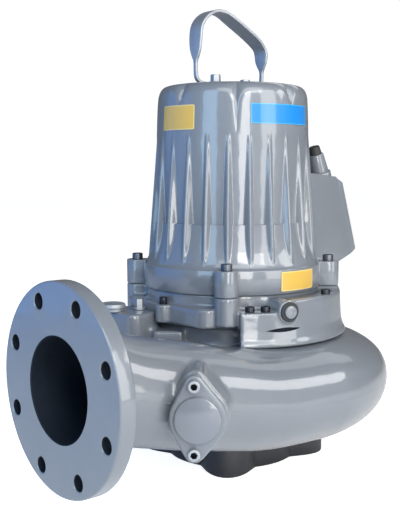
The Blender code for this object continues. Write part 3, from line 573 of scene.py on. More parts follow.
collar_levels = [(COLLAR_RADIUS - 0.0005, SEAM), (COLLAR_RADIUS, SEAM + 0.0005),
                 (COLLAR_RADIUS, COLLAR_TOP - 0.002), (COLLAR_RADIUS - 0.0006, COLLAR_TOP - 0.0006),
                 (COLLAR_RADIUS - 0.002, COLLAR_TOP)]
bay = [[polar(r, a, z) for a in BAY_ANGLES] for r, z in collar_levels]
bay += [bay_ring(z) for z in HEIGHTS]
bay.append([polar(FIN_TOP[0], a, FIN_TOP[1]) for a in BAY_ANGLES])
bay_mesh = skin("bay", bay, closed=False, caps=False)
barrel = run_tree("finned barrel", bay_mesh, SECTORS, Count=FINS, Merge_Distance=0.00001, Finish=GREY_ENAMEL)
print("barrel:", len(barrel.data.vertices), "points from a bay of", len(bay_mesh.vertices))

# %% The crown with its lobes, and the foot plate
LOBES = 8
FIRST_CREASE = radians(6)
LABELS = [(radians(168), radians(200)), (radians(241), radians(296))]
# radius, height, depth and drop of the creases, and whether the plates' seats fill the crease there
CROWN = [(0.1284, 0.553, 0.0004, 0.0, True), (0.1281, 0.566, 0.0008, 0.0, True),
         (0.1276, 0.580, 0.0014, 0.0, True), (0.1270, 0.5935, 0.0026, 0.0, True),
         (0.1266, 0.600, 0.0045, 0.003, False), (0.1262, 0.606, 0.0050, 0.0065, False),
         (0.1255, 0.6105, 0.0050, 0.0075, False), (0.1243, 0.6145, 0.0050, 0.0078, False),
         (0.1226, 0.6180, 0.0045, 0.0075, False), (0.1204, 0.6208, 0.0038, 0.0066, False),
         (0.1176, 0.6232, 0.0028, 0.0050, False), (0.1145, 0.6247, 0.0018, 0.0030, False),
         (0.1112, 0.6256, 0.0008, 0.0012, False), (0.1080, 0.6260, 0.0, 0.0, False),
         (0.060, 0.6260, 0.0, 0.0, False)]
CROWN_TOP = CROWN[-1][1]
FOOT_HOLE = 0.110


def crease(angle, z):
    """How deep the fold is at an angle: a narrow groove on the band, a wide dip over the crown's edge."""
    share = ((angle - FIRST_CREASE) * LOBES / (2 * pi)) % 1
    return abs(2 * share - 1) ** mix(18, 6, ease((z - 0.592) / 0.024))


def plated(angle):
    return any(a - 0.03 < angle < b + 0.03 for a, b in LABELS)


angles = [(k + s) * 2 * pi / FINS for k in range(FINS) for s in SHARES[:-1]]
crown = [[polar(FIN_TOP[0], a, FIN_TOP[1]) for a in angles]]
for radius, z, depth, drop, seats in CROWN:
    folds = [0.0 if seats and plated(a % (2 * pi)) else crease(a, z) for a in angles]
    crown.append([polar(radius - depth * f, a, z - drop * f) for a, f in zip(angles, folds)])
crown_mesh = skin("crown", crown, caps=False)
foot_mesh = skin("foot", [[polar(collar_levels[0][0], a, SEAM) for a in angles],
                          [polar(FOOT_HOLE, a, SEAM) for a in angles]], caps=False)
# each is closed by one face over its open middle
for mesh in (crown_mesh, foot_mesh):
    with edited(mesh) as bm:
        inner = [v for v in bm.verts
                 if v.co.xy.length < CROWN[-1][0] + 0.0005 or abs(v.co.xy.length - FOOT_HOLE) < 1e-5]
        bm.faces.new(sorted(inner, key=lambda v: atan2(v.co.y, v.co.x)))

# %% Lugs, the seat of the box, and the weld
CORNERS = [radians(a) for a in (45, 135, 225, 315)]
LUG_CIRCLE = 0.1645
LUG_RADIUS = 0.0185
LUG_TOP = 0.333
LUG_PLACES = [Matrix.Rotation(a, 4, "Z") @ Matrix.Translation((LUG_CIRCLE, 0, 0)) for a in CORNERS]
lug_outline = [polar(LUG_RADIUS, -pi / 2 + pi * k / 16).xy for k in range(17)]
lug_outline += [(-0.040, LUG_RADIUS), (-0.040, -LUG_RADIUS)]
lug = slab("lug", lug_outline, SEAM, LUG_TOP, 0.0015)
seat_outline = rounded([(0.080, -0.052, 0.003), (0.124, -0.052, 0.003), (0.124, 0.052, 0.003),
                        (0.080, 0.052, 0.003)])
seat = slab("box seat", seat_outline, 0.346, 0.478, 0.002)
pieces = [(mesh, Matrix()) for mesh in (barrel.data, crown_mesh, foot_mesh)]
pieces += [(lug, place) for place in LUG_PLACES] + [(seat, Matrix())]
housing_mesh = join_meshes("motor_casting", pieces)
print("open edges in the housing:", weld(housing_mesh, 0.00002))
take_out(barrel)
hand_over(housing_mesh, ["motor_housing"], GREY_ENAMEL, 50)

# %% [markdown]
# ## Scroll casing
#
# The casing is a snail: its section grows from the tongue round to the outlet pipe, which ends behind
# the flange. A core closes the snail's middle, a shoulder and a step stand beside the neck, and a boss
# carries the clean-out port. Each is a plain closed shape; together they are cut by the same passage as
# in the CAD model. Remeshing to cells of 3 mm and smoothing then gives the run-in corners that sand
# casting and thick paint leave, which no single bevel would.

# %% Rings of the scroll and of the outlet pipe
EQUATOR = 0.142
SCROLL_RADIUS = 0.159
SCROLL_RISE = 0.073
SCROLL_DROP = 0.086
SCROLL_FULLNESS = 0.80
REACH = (0.240, 0.270)
TURN = (radians(212), radians(-90))
OUTLET_Y = -0.150
OUTLET_Z = 0.205
OUTLET_RADIUS = 0.083
FLANGE_FACE_X = -0.4376
FLANGE_THICKNESS = 0.024
PIPE_END_X = FLANGE_FACE_X + FLANGE_THICKNESS
SIDES = 56
OUTLET_STATIONS = [
    (0.0, -SCROLL_RADIUS, EQUATOR, REACH[1] - SCROLL_RADIUS, SCROLL_RISE, SCROLL_DROP),
    (-0.110, -0.157, 0.143, 0.103, 0.075, 0.082),
    (-0.220, -0.153, 0.160, 0.094, 0.081, 0.078),
    (-0.315, -0.151, 0.183, 0.086, 0.079, 0.078),
    (-0.375, OUTLET_Y, 0.200, OUTLET_RADIUS, OUTLET_RADIUS, 0.080),
    (-0.405, OUTLET_Y, OUTLET_Z, OUTLET_RADIUS, OUTLET_RADIUS, OUTLET_RADIUS)]


def egg(centre, outward, reach, rise, drop, fullness=1.0):
    """A section that bulges a different amount up and down; a fullness below 1 fills its upper half."""
    points = []
    for k in range(SIDES):
        a = 2 * pi * k / SIDES
        up = sin(a)
        upright = rise * up ** fullness if up > 0 else drop * up
        points.append(centre + outward * (cos(a) * reach) + Vector((0, 0, upright)))
    return points


def passage(wall, past_flange, scroll_steps=96):
    """Rings from the tongue round to the flange, less a wall."""
    rings = []
    for k in range(scroll_steps):
        t = k / scroll_steps
        angle = mix(*TURN, t)
        reach = mix(*REACH, t) - SCROLL_RADIUS - wall
        grow = mix(0.86, 1.0, ease(2 * t))
        rings.append(egg(polar(SCROLL_RADIUS, angle, EQUATOR), polar(1, angle), reach,
                         SCROLL_RISE * grow - wall, SCROLL_DROP * grow - wall, SCROLL_FULLNESS))
    rows = through(OUTLET_STATIONS, 10)
    for i, (x, y, z, width, rise, drop) in enumerate(rows):
        rings.append(egg(Vector((x, y, z)), Vector((0, -1, 0)), width - wall, rise - wall, drop - wall,
                         mix(SCROLL_FULLNESS, 1.0, ease(2 * i / len(rows)))))
    rings.append([p + Vector((past_flange, 0, 0)) for p in rings[-1]])
    middle = scroll_steps // 2
    return rings[:middle + 1], rings[middle:]


WALL = 0.012
BEAD_RADIUS = 0.0014
tongue, outlet = passage(0, PIPE_END_X + 0.405)
# the outermost point of each ring, moved in by the bead's radius, so that the bead only just stands out
parting_line = [r[0] - (r[0] - r[SIDES // 2]).normalized() * BEAD_RADIUS for r in tongue[8:] + outlet[1:-1]]
casing = as_object(skin("scroll_casting", outlet))
print("scroll rings:", len(tongue), "+", len(outlet))

# %% Core, shoulder, step and the port's boss
shapes = [skin("tongue", tongue), turn_profile("core", [
    (0, 0.2387), (0.138, 0.2387), (0.138, 0.208), (0.156, 0.202), (0.156, 0.062), (0.146, 0.052),
    (0, 0.052)])]
SHOULDER_TOP = 0.258
shoulder = rounded([(-0.212, 0.000, 0.016), (-0.1545, 0.008, 0.003), (-0.1545, 0.095, 0.003),
                    (-0.212, 0.095, 0.016)])
shapes.append(slab("shoulder", shoulder, 0.170, SHOULDER_TOP))
step = [(-0.170, 0.060), (-0.157, 0.017), (-0.184, -0.018), (-0.151, -0.049), (-0.130, -0.030),
        (-0.110, 0.060)]
shapes.append(slab("step", step, 0.160, 0.232))
PORT_ANGLE = radians(227.9)
PORT_PLACE = polar(0.388, PORT_ANGLE) + polar(-0.0435, PORT_ANGLE + pi / 2) + Vector((0, 0, 0.167))
LYING = Matrix.Rotation(pi / 2, 4, "Y")
PORT_TURN = Matrix.Translation(PORT_PLACE) @ Matrix.Rotation(PORT_ANGLE, 4, "Z") @ LYING
PORT_SCREWS = 0.045
PORT_LEAN = -0.0045


def port_outline(grow):
    """A disc with a round lug above and below, joined by straight flanks."""
    big = 0.038 + grow
    small = 0.013 + grow
    steps = 12
    lean = acos((big - small) / PORT_SCREWS)
    points = []
    for centre, radius, middle, half in ((PORT_SCREWS, small, 0.0, lean),
                                         (0.0, big, pi / 2, pi / 2 - lean),
                                         (-PORT_SCREWS, small, pi, lean),
                                         (0.0, big, 3 * pi / 2, pi / 2 - lean)):
        for k in range(steps + 1):
            a = middle - half + 2 * half * k / steps
            points.append((-(centre + radius * cos(a)), radius * sin(a) + (PORT_LEAN if centre else 0)))
    return points


shapes.append(placed(slab("boss", port_outline(0.004), -0.110, 0.0), PORT_TURN))
boolean(casing, shapes, "UNION")
print("casing faces before its skin:", len(casing.data.polygons))

# %% The seat of the oil housing, the casting's skin, and the hollow
OIL_HALF = radians(128)
SHELL_FOOT = 0.2157
POCKET_FLOOR = 0.269


def sector(inner, outer, half):
    """A piece of a ring, from -half to half."""
    turns = [half * (2 * k / 96 - 1) for k in range(97)]
    return [polar(outer, a).xy for a in turns] + [polar(inner, -a).xy for a in turns]


boolean(casing, [slab("seat", sector(0.141, 0.1963, OIL_HALF + 0.003), SHELL_FOOT, POCKET_FLOOR),
                 placed(slab("spot face", port_outline(0.006), 0.0, 0.060), PORT_TURN)], "DIFFERENCE")
cast_skin(casing, 0.0032, 7)
tongue, outlet = passage(WALL, -0.02, 48)
hollow = boolean(skin("hollow", outlet), [skin("hollow tongue", tongue)], "UNION")
chamber = as_object(turn_profile("chamber", [
    (0, 0.30), (0.120, 0.30), (0.120, 0.076), (0.079, 0.075), (0.079, 0.03), (0, 0.03)]))
# the walls of the chamber and the waterway take the dark primer, which paints their shade
cut_to_primer_and_shade(casing, [chamber, hollow])

# %% [markdown]
# ### The parting line
#
# Where the two halves of the sand mould met, a thin raised line runs round the widest part of the
# scroll and along the pipe. The points of that line are already known: they are the outermost ones of
# the passage's rings. A third tree sweeps a small circle along them.

# %% A tree that sweeps a bead along a line
BEAD, given = new_tree("bead along a line", Bead_Radius="Float", Finish="Material")
line = add(BEAD, "GeometryNodeMeshToCurve", Mesh=given["Geometry"])
round_bead = add(BEAD, "GeometryNodeCurvePrimitiveCircle", Resolution=10, Radius=given["Bead Radius"])
swept = add(BEAD, "GeometryNodeCurveToMesh", Curve=line, Profile_Curve=round_bead, Fill_Caps=True)
end_tree(BEAD, add(BEAD, "GeometryNodeRealizeInstances", Geometry=swept), given["Finish"])
line_mesh = bpy.data.meshes.new("parting line")
links = [(i, i + 1) for i in range(len(parting_line) - 1)]
line_mesh.from_pydata([tuple(p) for p in parting_line], links, [])
bead = run_tree("parting line", line_mesh, BEAD, Bead_Radius=BEAD_RADIUS, Finish=GREY_ENAMEL)
with edited(casing.data) as bm:
    joined = len(bm.faces)
    bm.from_mesh(bead.data)
    bm.faces.ensure_lookup_table()
    for face in bm.faces[joined:]:
        face.material_index = 0
    bmesh.ops.recalc_face_normals(bm, faces=bm.faces[joined:])
take_out(bead)
print("parting line of", len(parting_line), "points")
hand_over(casing, ["volute_casing"], GREY_ENAMEL, 40)

# %% [markdown]
# ## Outlet flange
#
# A DN150 flange is a turned disc with rounded rims, a bore and eight bolt holes. The disc is turned from
# a profile; a tree makes the ring of holes, so that their number, circle and size are inputs. It
# cuts with the exact solver, and each cutter flares at both ends, which chamfers the holes.

# %% A tree for a ring of holes
HOLES, given = new_tree("ring of holes", Holes="Int", Bolt_Circle="Float", Cutter="Object",
                        Finish="Material")
circle = add(HOLES, "GeometryNodeMeshCircle", Vertices=given["Holes"], Radius=given["Bolt Circle"])
# half a pitch of turn, so that the holes straddle the upright as on every pipe flange
straddle = add(HOLES, "ShaderNodeCombineXYZ", Z=maths(HOLES, "DIVIDE", pi, given["Holes"]))
turned = add(HOLES, "GeometryNodeTransform", Geometry=circle, Rotation=straddle)
cutter = add(HOLES, "GeometryNodeObjectInfo", Object=given["Cutter"])
drills = add(HOLES, "GeometryNodeInstanceOnPoints", Points=turned, Instance=cutter.outputs["Geometry"])
solid = add(HOLES, "GeometryNodeRealizeInstances", Geometry=drills)
drilled = add(HOLES, "GeometryNodeMeshBoolean", {"operation": "DIFFERENCE", "solver": "EXACT"},
              Mesh_1=given["Geometry"], Mesh_2=solid)
end_tree(HOLES, drilled, given["Finish"])

# %% The flange
FLANGE_RADIUS = 0.1420
BORE = 0.070
BOLT_CIRCLE = 0.120
HOLE = 0.011
edge = 0.003
rim = [(FLANGE_RADIUS - edge + edge * sin(a), edge - edge * cos(a))
       for a in [radians(15 * k) for k in range(7)]]
back = [(r, FLANGE_THICKNESS - z) for r, z in rim[::-1]]
profile = [(BORE + 0.0015, 0.0)] + rim + back + [(BORE, FLANGE_THICKNESS), (BORE, 0.0015)]
drill = as_object(turn_profile("drill", [
    (0, 0.03), (0.0135, 0.03), (0.0122, FLANGE_THICKNESS), (HOLE, FLANGE_THICKNESS - 0.0012),
    (HOLE, 0.0012), (0.0122, 0.0), (0.0135, -0.004), (0, -0.004)], 40))
flange = run_tree("outlet_flange_casting", turn_ring("outlet_flange_casting", profile, 128), HOLES,
                  Holes=8, Bolt_Circle=BOLT_CIRCLE, Cutter=drill, Finish=GREY_ENAMEL)
take_out(drill)


def primed_in_painted_shade(face):
    """The bore and the walls of the bolt holes, which the grey coat does not reach; their dark primer is
    painted shade.
    """
    out = face.center.xy.length
    return out < BORE + 0.0008 or (abs(face.normal.z) < 0.3 and abs(out - BOLT_CIRCLE) < 0.015)


two_finishes(flange, GREY_ENAMEL, PRIMER_PAINTED_SHADE, primed_in_painted_shade)
flange.data.transform(Matrix.Translation((FLANGE_FACE_X, OUTLET_Y, OUTLET_Z)) @ LYING)
hand_over(flange, ["outlet_flange"], GREY_ENAMEL, 30)

# %% [markdown]
# ## Oil housing
#
# Between the scroll and the motor sits the oil housing: a round core, a deep shell on the far side with a
# pocket for two screws and a boss for the oil plug, a flat-sided flange towards the outlet, and four lugs
# under the motor's lugs. It is made as the scroll is: plain shapes joined, then given a cast skin. Its
# lugs and flange have tighter corners than the scroll, so its cells are smaller. From here on, pieces
# that stand on each other are kept 0.3 mm apart, so that no two faces coincide.

# %% Core, shell, flange and lugs of the oil housing
GAP = 0.0003
OIL_TOP = SEAM - GAP
SHELL = ((0.1925, SHELL_FOOT), (0.1955, 0.2185), (0.1950, 0.2215), (0.1910, 0.228), (0.1880, 0.240),
         (0.186, POCKET_FLOOR), (0.1855, 0.284), (0.1835, 0.287))
LEDGE = (radians(222), radians(251))
PLUG_ANGLE = radians(255.7)
PLUG_HEIGHT = 0.270
PLUG_TURN = Matrix.Rotation(PLUG_ANGLE, 4, "Z") @ LYING
SIDE_BOSS = (-0.155, -0.007)
SIDE_TOP = 0.272
shell = skin("shell", [[Vector((*xy, z)) for xy in sector(0.1415, radius, OIL_HALF)] for radius, z in SHELL])
pocket = [polar(r, LEDGE[end]).xy for r, end in ((0.149, 0), (0.230, 0), (0.230, 1), (0.149, 1))]
shell = boolean(shell, [slab("pocket", pocket, POCKET_FLOOR, 0.307)], "DIFFERENCE")
plug_boss = turn_profile("plug boss", [(0, 0.190), (0.018, 0.190), (0.018, 0.150), (0, 0.150)])
side_flange = rounded([(-0.060, 0.108, 0.002), (-0.153, 0.108, 0.024), (-0.153, -0.108, 0.024),
                       (-0.060, -0.108, 0.002)])
side_boss = turn_profile("side boss", [(0, SIDE_TOP), (0.013, SIDE_TOP), (0.013, 0.243), (0, 0.243)], 32)
parts = [shell, placed(plug_boss, Matrix.Translation((0, 0, PLUG_HEIGHT)) @ PLUG_TURN),
         slab("side flange", side_flange, 0.243, SIDE_TOP),
         placed(side_boss, Matrix.Translation((*SIDE_BOSS, 0)))]
parts += [placed(slab("oil lug", lug_outline, 0.247, OIL_TOP), place) for place in LUG_PLACES]
oil = boolean(turn_profile("oil_casting", [
    (0, OIL_TOP), (0.146, OIL_TOP), (0.146, 0.261), (0.150, 0.260), (0.150, 0.239), (0.1197, 0.239),
    (0.1197, 0.192), (0, 0.192)]), parts, "UNION")
cast_skin(oil, 0.0021, 5)
# a lens-shaped drain slot under the plug, cut after the skin so that it stays crisp; its walls take the dark
# primer, which paints the shadow in the slot
rings = []
for k in range(33):
    t = k / 32
    tall = 0.0002 + 0.0030 * (1 - (2 * t - 1) ** 2)
    angle = radians(mix(244.5, 262.5, t))
    middle = 0.2415 + 0.0015 * t
    rings.append([polar(r, angle, middle + side * tall)
                  for r, side in ((0.1835, -1), (0.198, -1), (0.198, 1), (0.1835, 1))])
cut_to_primer_and_shade(oil, [as_object(skin("drain slot", rings))])
hand_over(oil, ["oil_housing"], GREY_ENAMEL, 45)

# %% [markdown]
# ## Foot ring and wear ring
#
# The pump stands on a black ring with four round feet. Its outline is one formula: a circle with a
# smooth bump at each corner. The wear ring inside the inlet is a plain turned ring.

# %% Foot ring
outline = []
for k in range(288):
    angle = 2 * pi * k / 288
    off = min(abs((angle - c + pi) % (2 * pi) - pi) for c in CORNERS)
    bump = 0.5 + 0.5 * cos(pi * min(off / radians(25), 1))
    outline.append(polar(0.112 + 0.046 * bump ** 0.7, angle).xy)
cuts = [turn_profile("bore", [(0, 0.06), (0.0793, 0.06), (0.0793, -0.01), (0, -0.01)])]
for angle in CORNERS:
    recess = turn_profile("recess", [(0, 0.012), (0.0085, 0.012), (0.0095, 0.011), (0.0095, -0.01),
                                     (0, -0.01)], 32)
    cuts.append(placed(recess, Matrix.Translation(polar(0.136, angle))))
base = boolean(slab("foot_ring", outline, 0.0, 0.0517, 0.003), cuts, "DIFFERENCE")
hand_over(base, ["suction_base"], BLACK_ENAMEL, 40)

# %% Wear ring
wear = turn_ring("wear_ring_turned", [(0.0705, 0.074), (0.0782, 0.074), (0.0787, 0.0735), (0.0787, 0.0205),
                                      (0.0782, 0.020), (0.0705, 0.020), (0.070, 0.0205), (0.070, 0.0735)])
hand_over(wear, ["wear_ring"], STAINLESS)

# %% [markdown]
# ## Impeller
#
# Looking up through the inlet, one sees an open impeller with three swept vanes. One vane is drawn, and
# the sector tree makes the other two.

# %% Hub and vanes
hub = turn_profile("hub", [(0, 0.1917), (0.032, 0.1917), (0.034, 0.186), (0.0885, 0.184), (0.090, 0.1825),
                           (0.090, 0.1755), (0.0885, 0.174), (0.060, 0.1725), (0.040, 0.170), (0.035, 0.160),
                           (0.031, 0.145), (0.028, 0.130), (0.024, 0.112), (0.022, 0.110), (0, 0.110)])
vane_in = []
vane_out = []
for s in range(25):
    t = s / 24
    angle = -1.9 * t
    radius = mix(0.026, 0.0875, t)
    half = 0.0035 * (1 - 0.6 * t ** 4)
    vane_in.append(polar(radius - half, angle).xy)
    vane_out.append(polar(radius + half * (1 if t < 1 else 0.4), angle).xy)
vane = slab("vane", vane_in + vane_out[::-1], 0.104, 0.178, 0.001, 2)
vanes = run_tree("vanes", vane, SECTORS, Count=3, Merge_Distance=0.0, Finish=BRONZE)
wheel = join_meshes("impeller_casting", [(hub, Matrix()), (vanes.data, Matrix())])
take_out(vanes)
hand_over(wheel, ["impeller"], BRONZE)

# %% [markdown]
# ## Connection box
#
# The motor is connected in a box on its side. The box is a prism with a sloping front that a cover
# closes, so both are outlines in the XZ plane with rounded corners, pushed out along Y and bevelled.

# %% Box and cover
UPRIGHT = Matrix.Rotation(pi / 2, 4, "X")
low = Vector((0.2473, 0.334))
high = Vector((0.207, 0.460))
box_outline = rounded([(0.118, 0.342, 0.001), (0.206, 0.3185, 0.006), (*low, 0.004), (*high, 0.006),
                       (0.201, 0.475, 0.006), (0.118, 0.483, 0.001)])
box = placed(slab("connection_box_casting", box_outline, -0.060, 0.060, 0.005, 5), UPRIGHT)
hand_over(box, ["connection_box"], GREY_ENAMEL)
slope = (high - low).normalized()
outward = Vector((slope.y, -slope.x))
# corners of the cover: from the sloping front, how far out, how far along, and the radius
corners = [(*(start + outward * out + slope * along), radius) for start, out, along, radius in (
    (low, GAP, 0, 0.0006), (low, 0.012, 0.004, 0.004),
    (high, 0.012, 0.001, 0.004), (high, GAP, 0.0125, 0.0006))]
cover = placed(slab("box_cover_casting", rounded(corners), -0.059, 0.059, 0.003, 4), UPRIGHT)
hand_over(cover, ["connection_box_cover"], GREY_ENAMEL)

# %% Cable gland and its sleeve
GLAND = Matrix.Translation((0.183, -0.036, 0.4775)) @ Matrix.Rotation(radians(-19), 4, "Y")
nut = turn_profile("gland_nut", [(0, 0.040), (0.0122, 0.040), (0.0132, 0.0393), (0.0136, 0.038),
                                 (0.0160, 0.010), (0.0160, 0.0075), (0.0150, 0.0070), (0.0150, 0.0060),
                                 (0.0188, 0.0055), (0.0195, 0.0045), (0.0195, -0.006), (0, -0.006)], 64)
hand_over(placed(nut, GLAND), ["cable_gland"], GREY_ENAMEL)
sleeve = turn_profile("gland_rubber", [(0, 0.0543), (0.0085, 0.0543), (0.0095, 0.0533), (0.011, 0.0403),
                                       (0, 0.0403)], 64)
hand_over(placed(sleeve, GLAND), ["gland_sleeve"], RUBBER)

# %% [markdown]
# ## Clean-out port and oil plug
#
# The port is closed by an oval cover on a rubber gasket. The cover is a slab with a raised disc; its
# edges are bevelled because it is a casting too. The oil plug is a painted cap in a rubber ring. The
# ring is made here, and the cap comes with the screws.

# %% Gasket, cover and the ring of the plug
gasket = slab("gasket_sheet", port_outline(-0.001), GAP, 0.0020)
hand_over(placed(gasket, PORT_TURN), ["port_gasket"], RUBBER)
plate = slab("plate", port_outline(0.0), 0.0023, 0.0140, 0.003, 4)
disc = turn_profile("disc", [(0, 0.0200), (0.0285, 0.0200), (0.0302, 0.0193), (0.031, 0.0176), (0.031, 0.010),
                             (0, 0.010)])
port_cover = join_meshes("port_cover_casting", [(plate, PORT_TURN), (disc, PORT_TURN)])
hand_over(port_cover, ["port_cover"], GREY_ENAMEL)
plug_ring = turn_profile("plug_ring", [(0, 0.003), (0.0145, 0.003), (0.0155, 0.002), (0.0155, 0), (0, 0)], 48)
plug_ring = placed(plug_ring, Matrix.Translation(polar(0.1903, PLUG_ANGLE, PLUG_HEIGHT)) @ PLUG_TURN)
hand_over(plug_ring, ["oil_plug_ring"], RUBBER)

# %% [markdown]
# ## Screws and bolts
#
# One socket head and one hexagon head are modelled at a size of one metre, ring by ring, and the
# fastener tree sets them on their seats at their real radius and height. The ring of points on a head's
# face goes over from a circle to the hexagon of its socket, so no Boolean is needed.

# %% The two heads
HEAD_SIDES = 48


def hoops(*profile):
    return [hoop(r, z, HEAD_SIDES) for r, z in profile]


def hexagons(*profile):
    """Rings as hoops, but pulled in to a hexagon whose corners lie on the radius."""
    rings = hoops(*profile)
    for k in range(HEAD_SIDES):
        to_side = (2 * pi * k / HEAD_SIDES + pi / 6) % (pi / 3) - pi / 6
        for ring in rings:
            ring[k].xy *= cos(pi / 6) / cos(to_side)
    return rings


socket_head = as_object(skin("socket head", hoops(
    (0.97, 0), (1, 0.04), (1, 0.88), (0.97, 0.96), (0.90, 1), (0.66, 1)) + hexagons(
    (0.60, 0.97), (0.56, 0.90), (0.56, 0.42))))
in_socket = socket_head.data.attributes.new("in_socket", "BOOLEAN", "FACE")
for face in socket_head.data.polygons:
    in_socket.data[face.index].value = face.center.z < 0.95 and face.center.xy.length < 0.62
hex_head = as_object(skin("hexagon head", hoops(
    (1.15, 0), (1.20, 0.03), (1.20, 0.13), (1.15, 0.16)) + hexagons(
    (1.00, 0.17), (1.00, 0.90), (0.97, 0.95)) + hoops((0.84, 1.0))))


def fasten(name, head, seats, radius, height, finish, nodes):
    """Set heads on seats: each seat is a place and the direction that the head faces."""
    points = bpy.data.meshes.new(name)
    points.from_pydata([tuple(place) for place, facing in seats], [], [])
    directions = points.attributes.new("facing", "FLOAT_VECTOR", "POINT")
    for i, (place, facing) in enumerate(seats):
        directions.data[i].vector = facing
    heads = run_tree(name, points, FASTENERS, Head=head, Radius=radius, Height=height, Finish=finish)
    # the insides of the sockets get near-black steel, which is painted shade
    if head is socket_head:
        marks = [mark.value for mark in heads.data.attributes["in_socket"].data]
        two_finishes(heads, finish, SOCKET_PAINTED_SHADE, lambda face: marks[face.index])
    hand_over(heads, nodes, finish, 30)


# %% [markdown]
# Each set of fasteners is then one call, with its seats, its radius and height, its finish and the CAD
# nodes that it stands for.

# %% Set the screws and bolts
UP = Vector((0, 0, 1))
# the housing screws take the paler steel, whose tone is a painted reflection
fasten("housing_screws", socket_head, [(polar(LUG_CIRCLE, a, LUG_TOP + GAP), UP) for a in CORNERS], 0.009,
       0.010, SCREW_STEEL_PAINTED_REFLECTION, ["housing_bolt_%d" % k for k in (1, 2, 3, 4)])
# two screws stand in the pocket, a third one on the crest of the shell
pocket_seats = [(polar(r, radians(a), z), UP) for r, a, z in (
    (0.168, 237.5, POCKET_FLOOR + GAP), (0.168, 246, POCKET_FLOOR + GAP), (0.1758, 288, 0.2867))]
fasten("pocket_screws", socket_head, pocket_seats, 0.0075, 0.008, DARK_STEEL,
       ["ledge_screw_1", "ledge_screw_2"])
fasten("side_flange_screw", socket_head, [(Vector((*SIDE_BOSS, SIDE_TOP + GAP)), UP)], 0.0065, 0.011,
       DARK_STEEL, ["side_screw"])
port_out = polar(1, PORT_ANGLE)
port_middle = PORT_PLACE + port_out * (0.0140 + GAP) + polar(PORT_LEAN, PORT_ANGLE + pi / 2)
port_seats = [(port_middle + UP * (s * PORT_SCREWS), port_out) for s in (1, -1)]
fasten("port_cover_screws", socket_head, port_seats, 0.008, 0.008, STAINLESS,
       ["port_screw_1", "port_screw_2"])
spots = [low.lerp(high, share) + outward * (0.012 + GAP) for share in (0.17, 0.87)]
cover_out = Vector((outward.x, 0, outward.y))
cover_seats = [(Vector((spot.x, y, spot.y)), cover_out) for spot in spots for y in (-0.046, 0.046)]
fasten("box_cover_screws", socket_head, cover_seats, 0.0065, 0.007, STAINLESS,
       ["box_screw_%d" % k for k in (1, 2, 3, 4)])
# the cap of the oil plug is turned, and stands in the rubber ring
plug_cap = turn_profile("oil_plug_cap", [(0, 0.0022), (0.0042, 0.0022), (0.0048, 0.0030), (0.0088, 0.0030),
                                         (0.0098, 0.0026), (0.0102, 0.0018), (0.0102, 0), (0, 0)], 64)
plug_cap = placed(plug_cap, Matrix.Translation(polar(0.1936, PLUG_ANGLE, PLUG_HEIGHT)) @ PLUG_TURN)
hand_over(plug_cap, ["oil_plug"], GREY_ENAMEL)
fasten("impeller_bolt", socket_head, [(Vector((0, 0, 0.1097)), -UP)], 0.012, 0.010, STAINLESS,
       ["impeller_screw"])
# the bar of the handle is 5 mm thick, and the nuts stand on it
BAR = 0.005
HEX_RADIUS = 0.015 / sqrt(3)
for number, (x, height) in enumerate([(-0.038, 0.0135), (0.029, 0.009)], 1):
    fasten("handle_nut_%d" % number, hex_head, [(Vector((x, 0, CROWN_TOP + BAR + 2 * GAP)), UP)], HEX_RADIUS,
           height, STAINLESS, ["handle_bolt_%d" % number])
fasten("shoulder_nut", hex_head, [(Vector((-0.167, 0.043, SHOULDER_TOP + GAP)), UP)], HEX_RADIUS, 0.018,
       STAINLESS, ["shoulder_bolt"])
take_out(socket_head, hex_head)
cap = turn_profile("shoulder_plug", [(0, 0.2710), (0.0185, 0.2710), (0.0205, 0.2700), (0.0215, 0.2675),
                                     (0.0215, 0.2645), (0.018, 0.2630), (0.018, SHOULDER_TOP + GAP),
                                     (0, SHOULDER_TOP + GAP)], 64)
hand_over(placed(cap, Matrix.Translation((-0.208, 0.060, 0))), ["shoulder_cap"], STAINLESS)

# %% [markdown]
# ## Lifting handle
#
# The handle is a flat bar that is forged narrow at its feet and bent over the crown. Its section is a
# rounded rectangle whose half width changes along the route, swept at right angles to the route.

# %% Sweep the bar
ROUTE = [(-0.024, 0.0025, 0.009), (-0.052, 0.0025, 0.009), (-0.062, 0.0028, 0.006), (-0.074, 0.006, 0.004),
         (-0.080, 0.014, 0.004), (-0.081, 0.036, 0.004), (-0.081, 0.046, 0.0085), (-0.081, 0.058, 0.013),
         (-0.0805, 0.076, 0.015), (-0.0775, 0.094, 0.015), (-0.068, 0.1075, 0.015), (-0.0545, 0.1165, 0.015),
         (-0.040, 0.1205, 0.015), (-0.022, 0.118, 0.0162), (-0.003, 0.1090, 0.0175), (0.023, 0.0955, 0.0175),
         (0.046, 0.0825, 0.0170), (0.0615, 0.070, 0.015), (0.0665, 0.060, 0.015), (0.0670, 0.047, 0.013),
         (0.0675, 0.038, 0.0085), (0.0678, 0.029, 0.004), (0.0668, 0.012, 0.004), (0.0600, 0.005, 0.004),
         (0.051, 0.0028, 0.006), (0.044, 0.0025, 0.009), (0.016, 0.0025, 0.009)]
BAR_EDGE = 0.0015
rows = through(ROUTE, 5)
rings = []
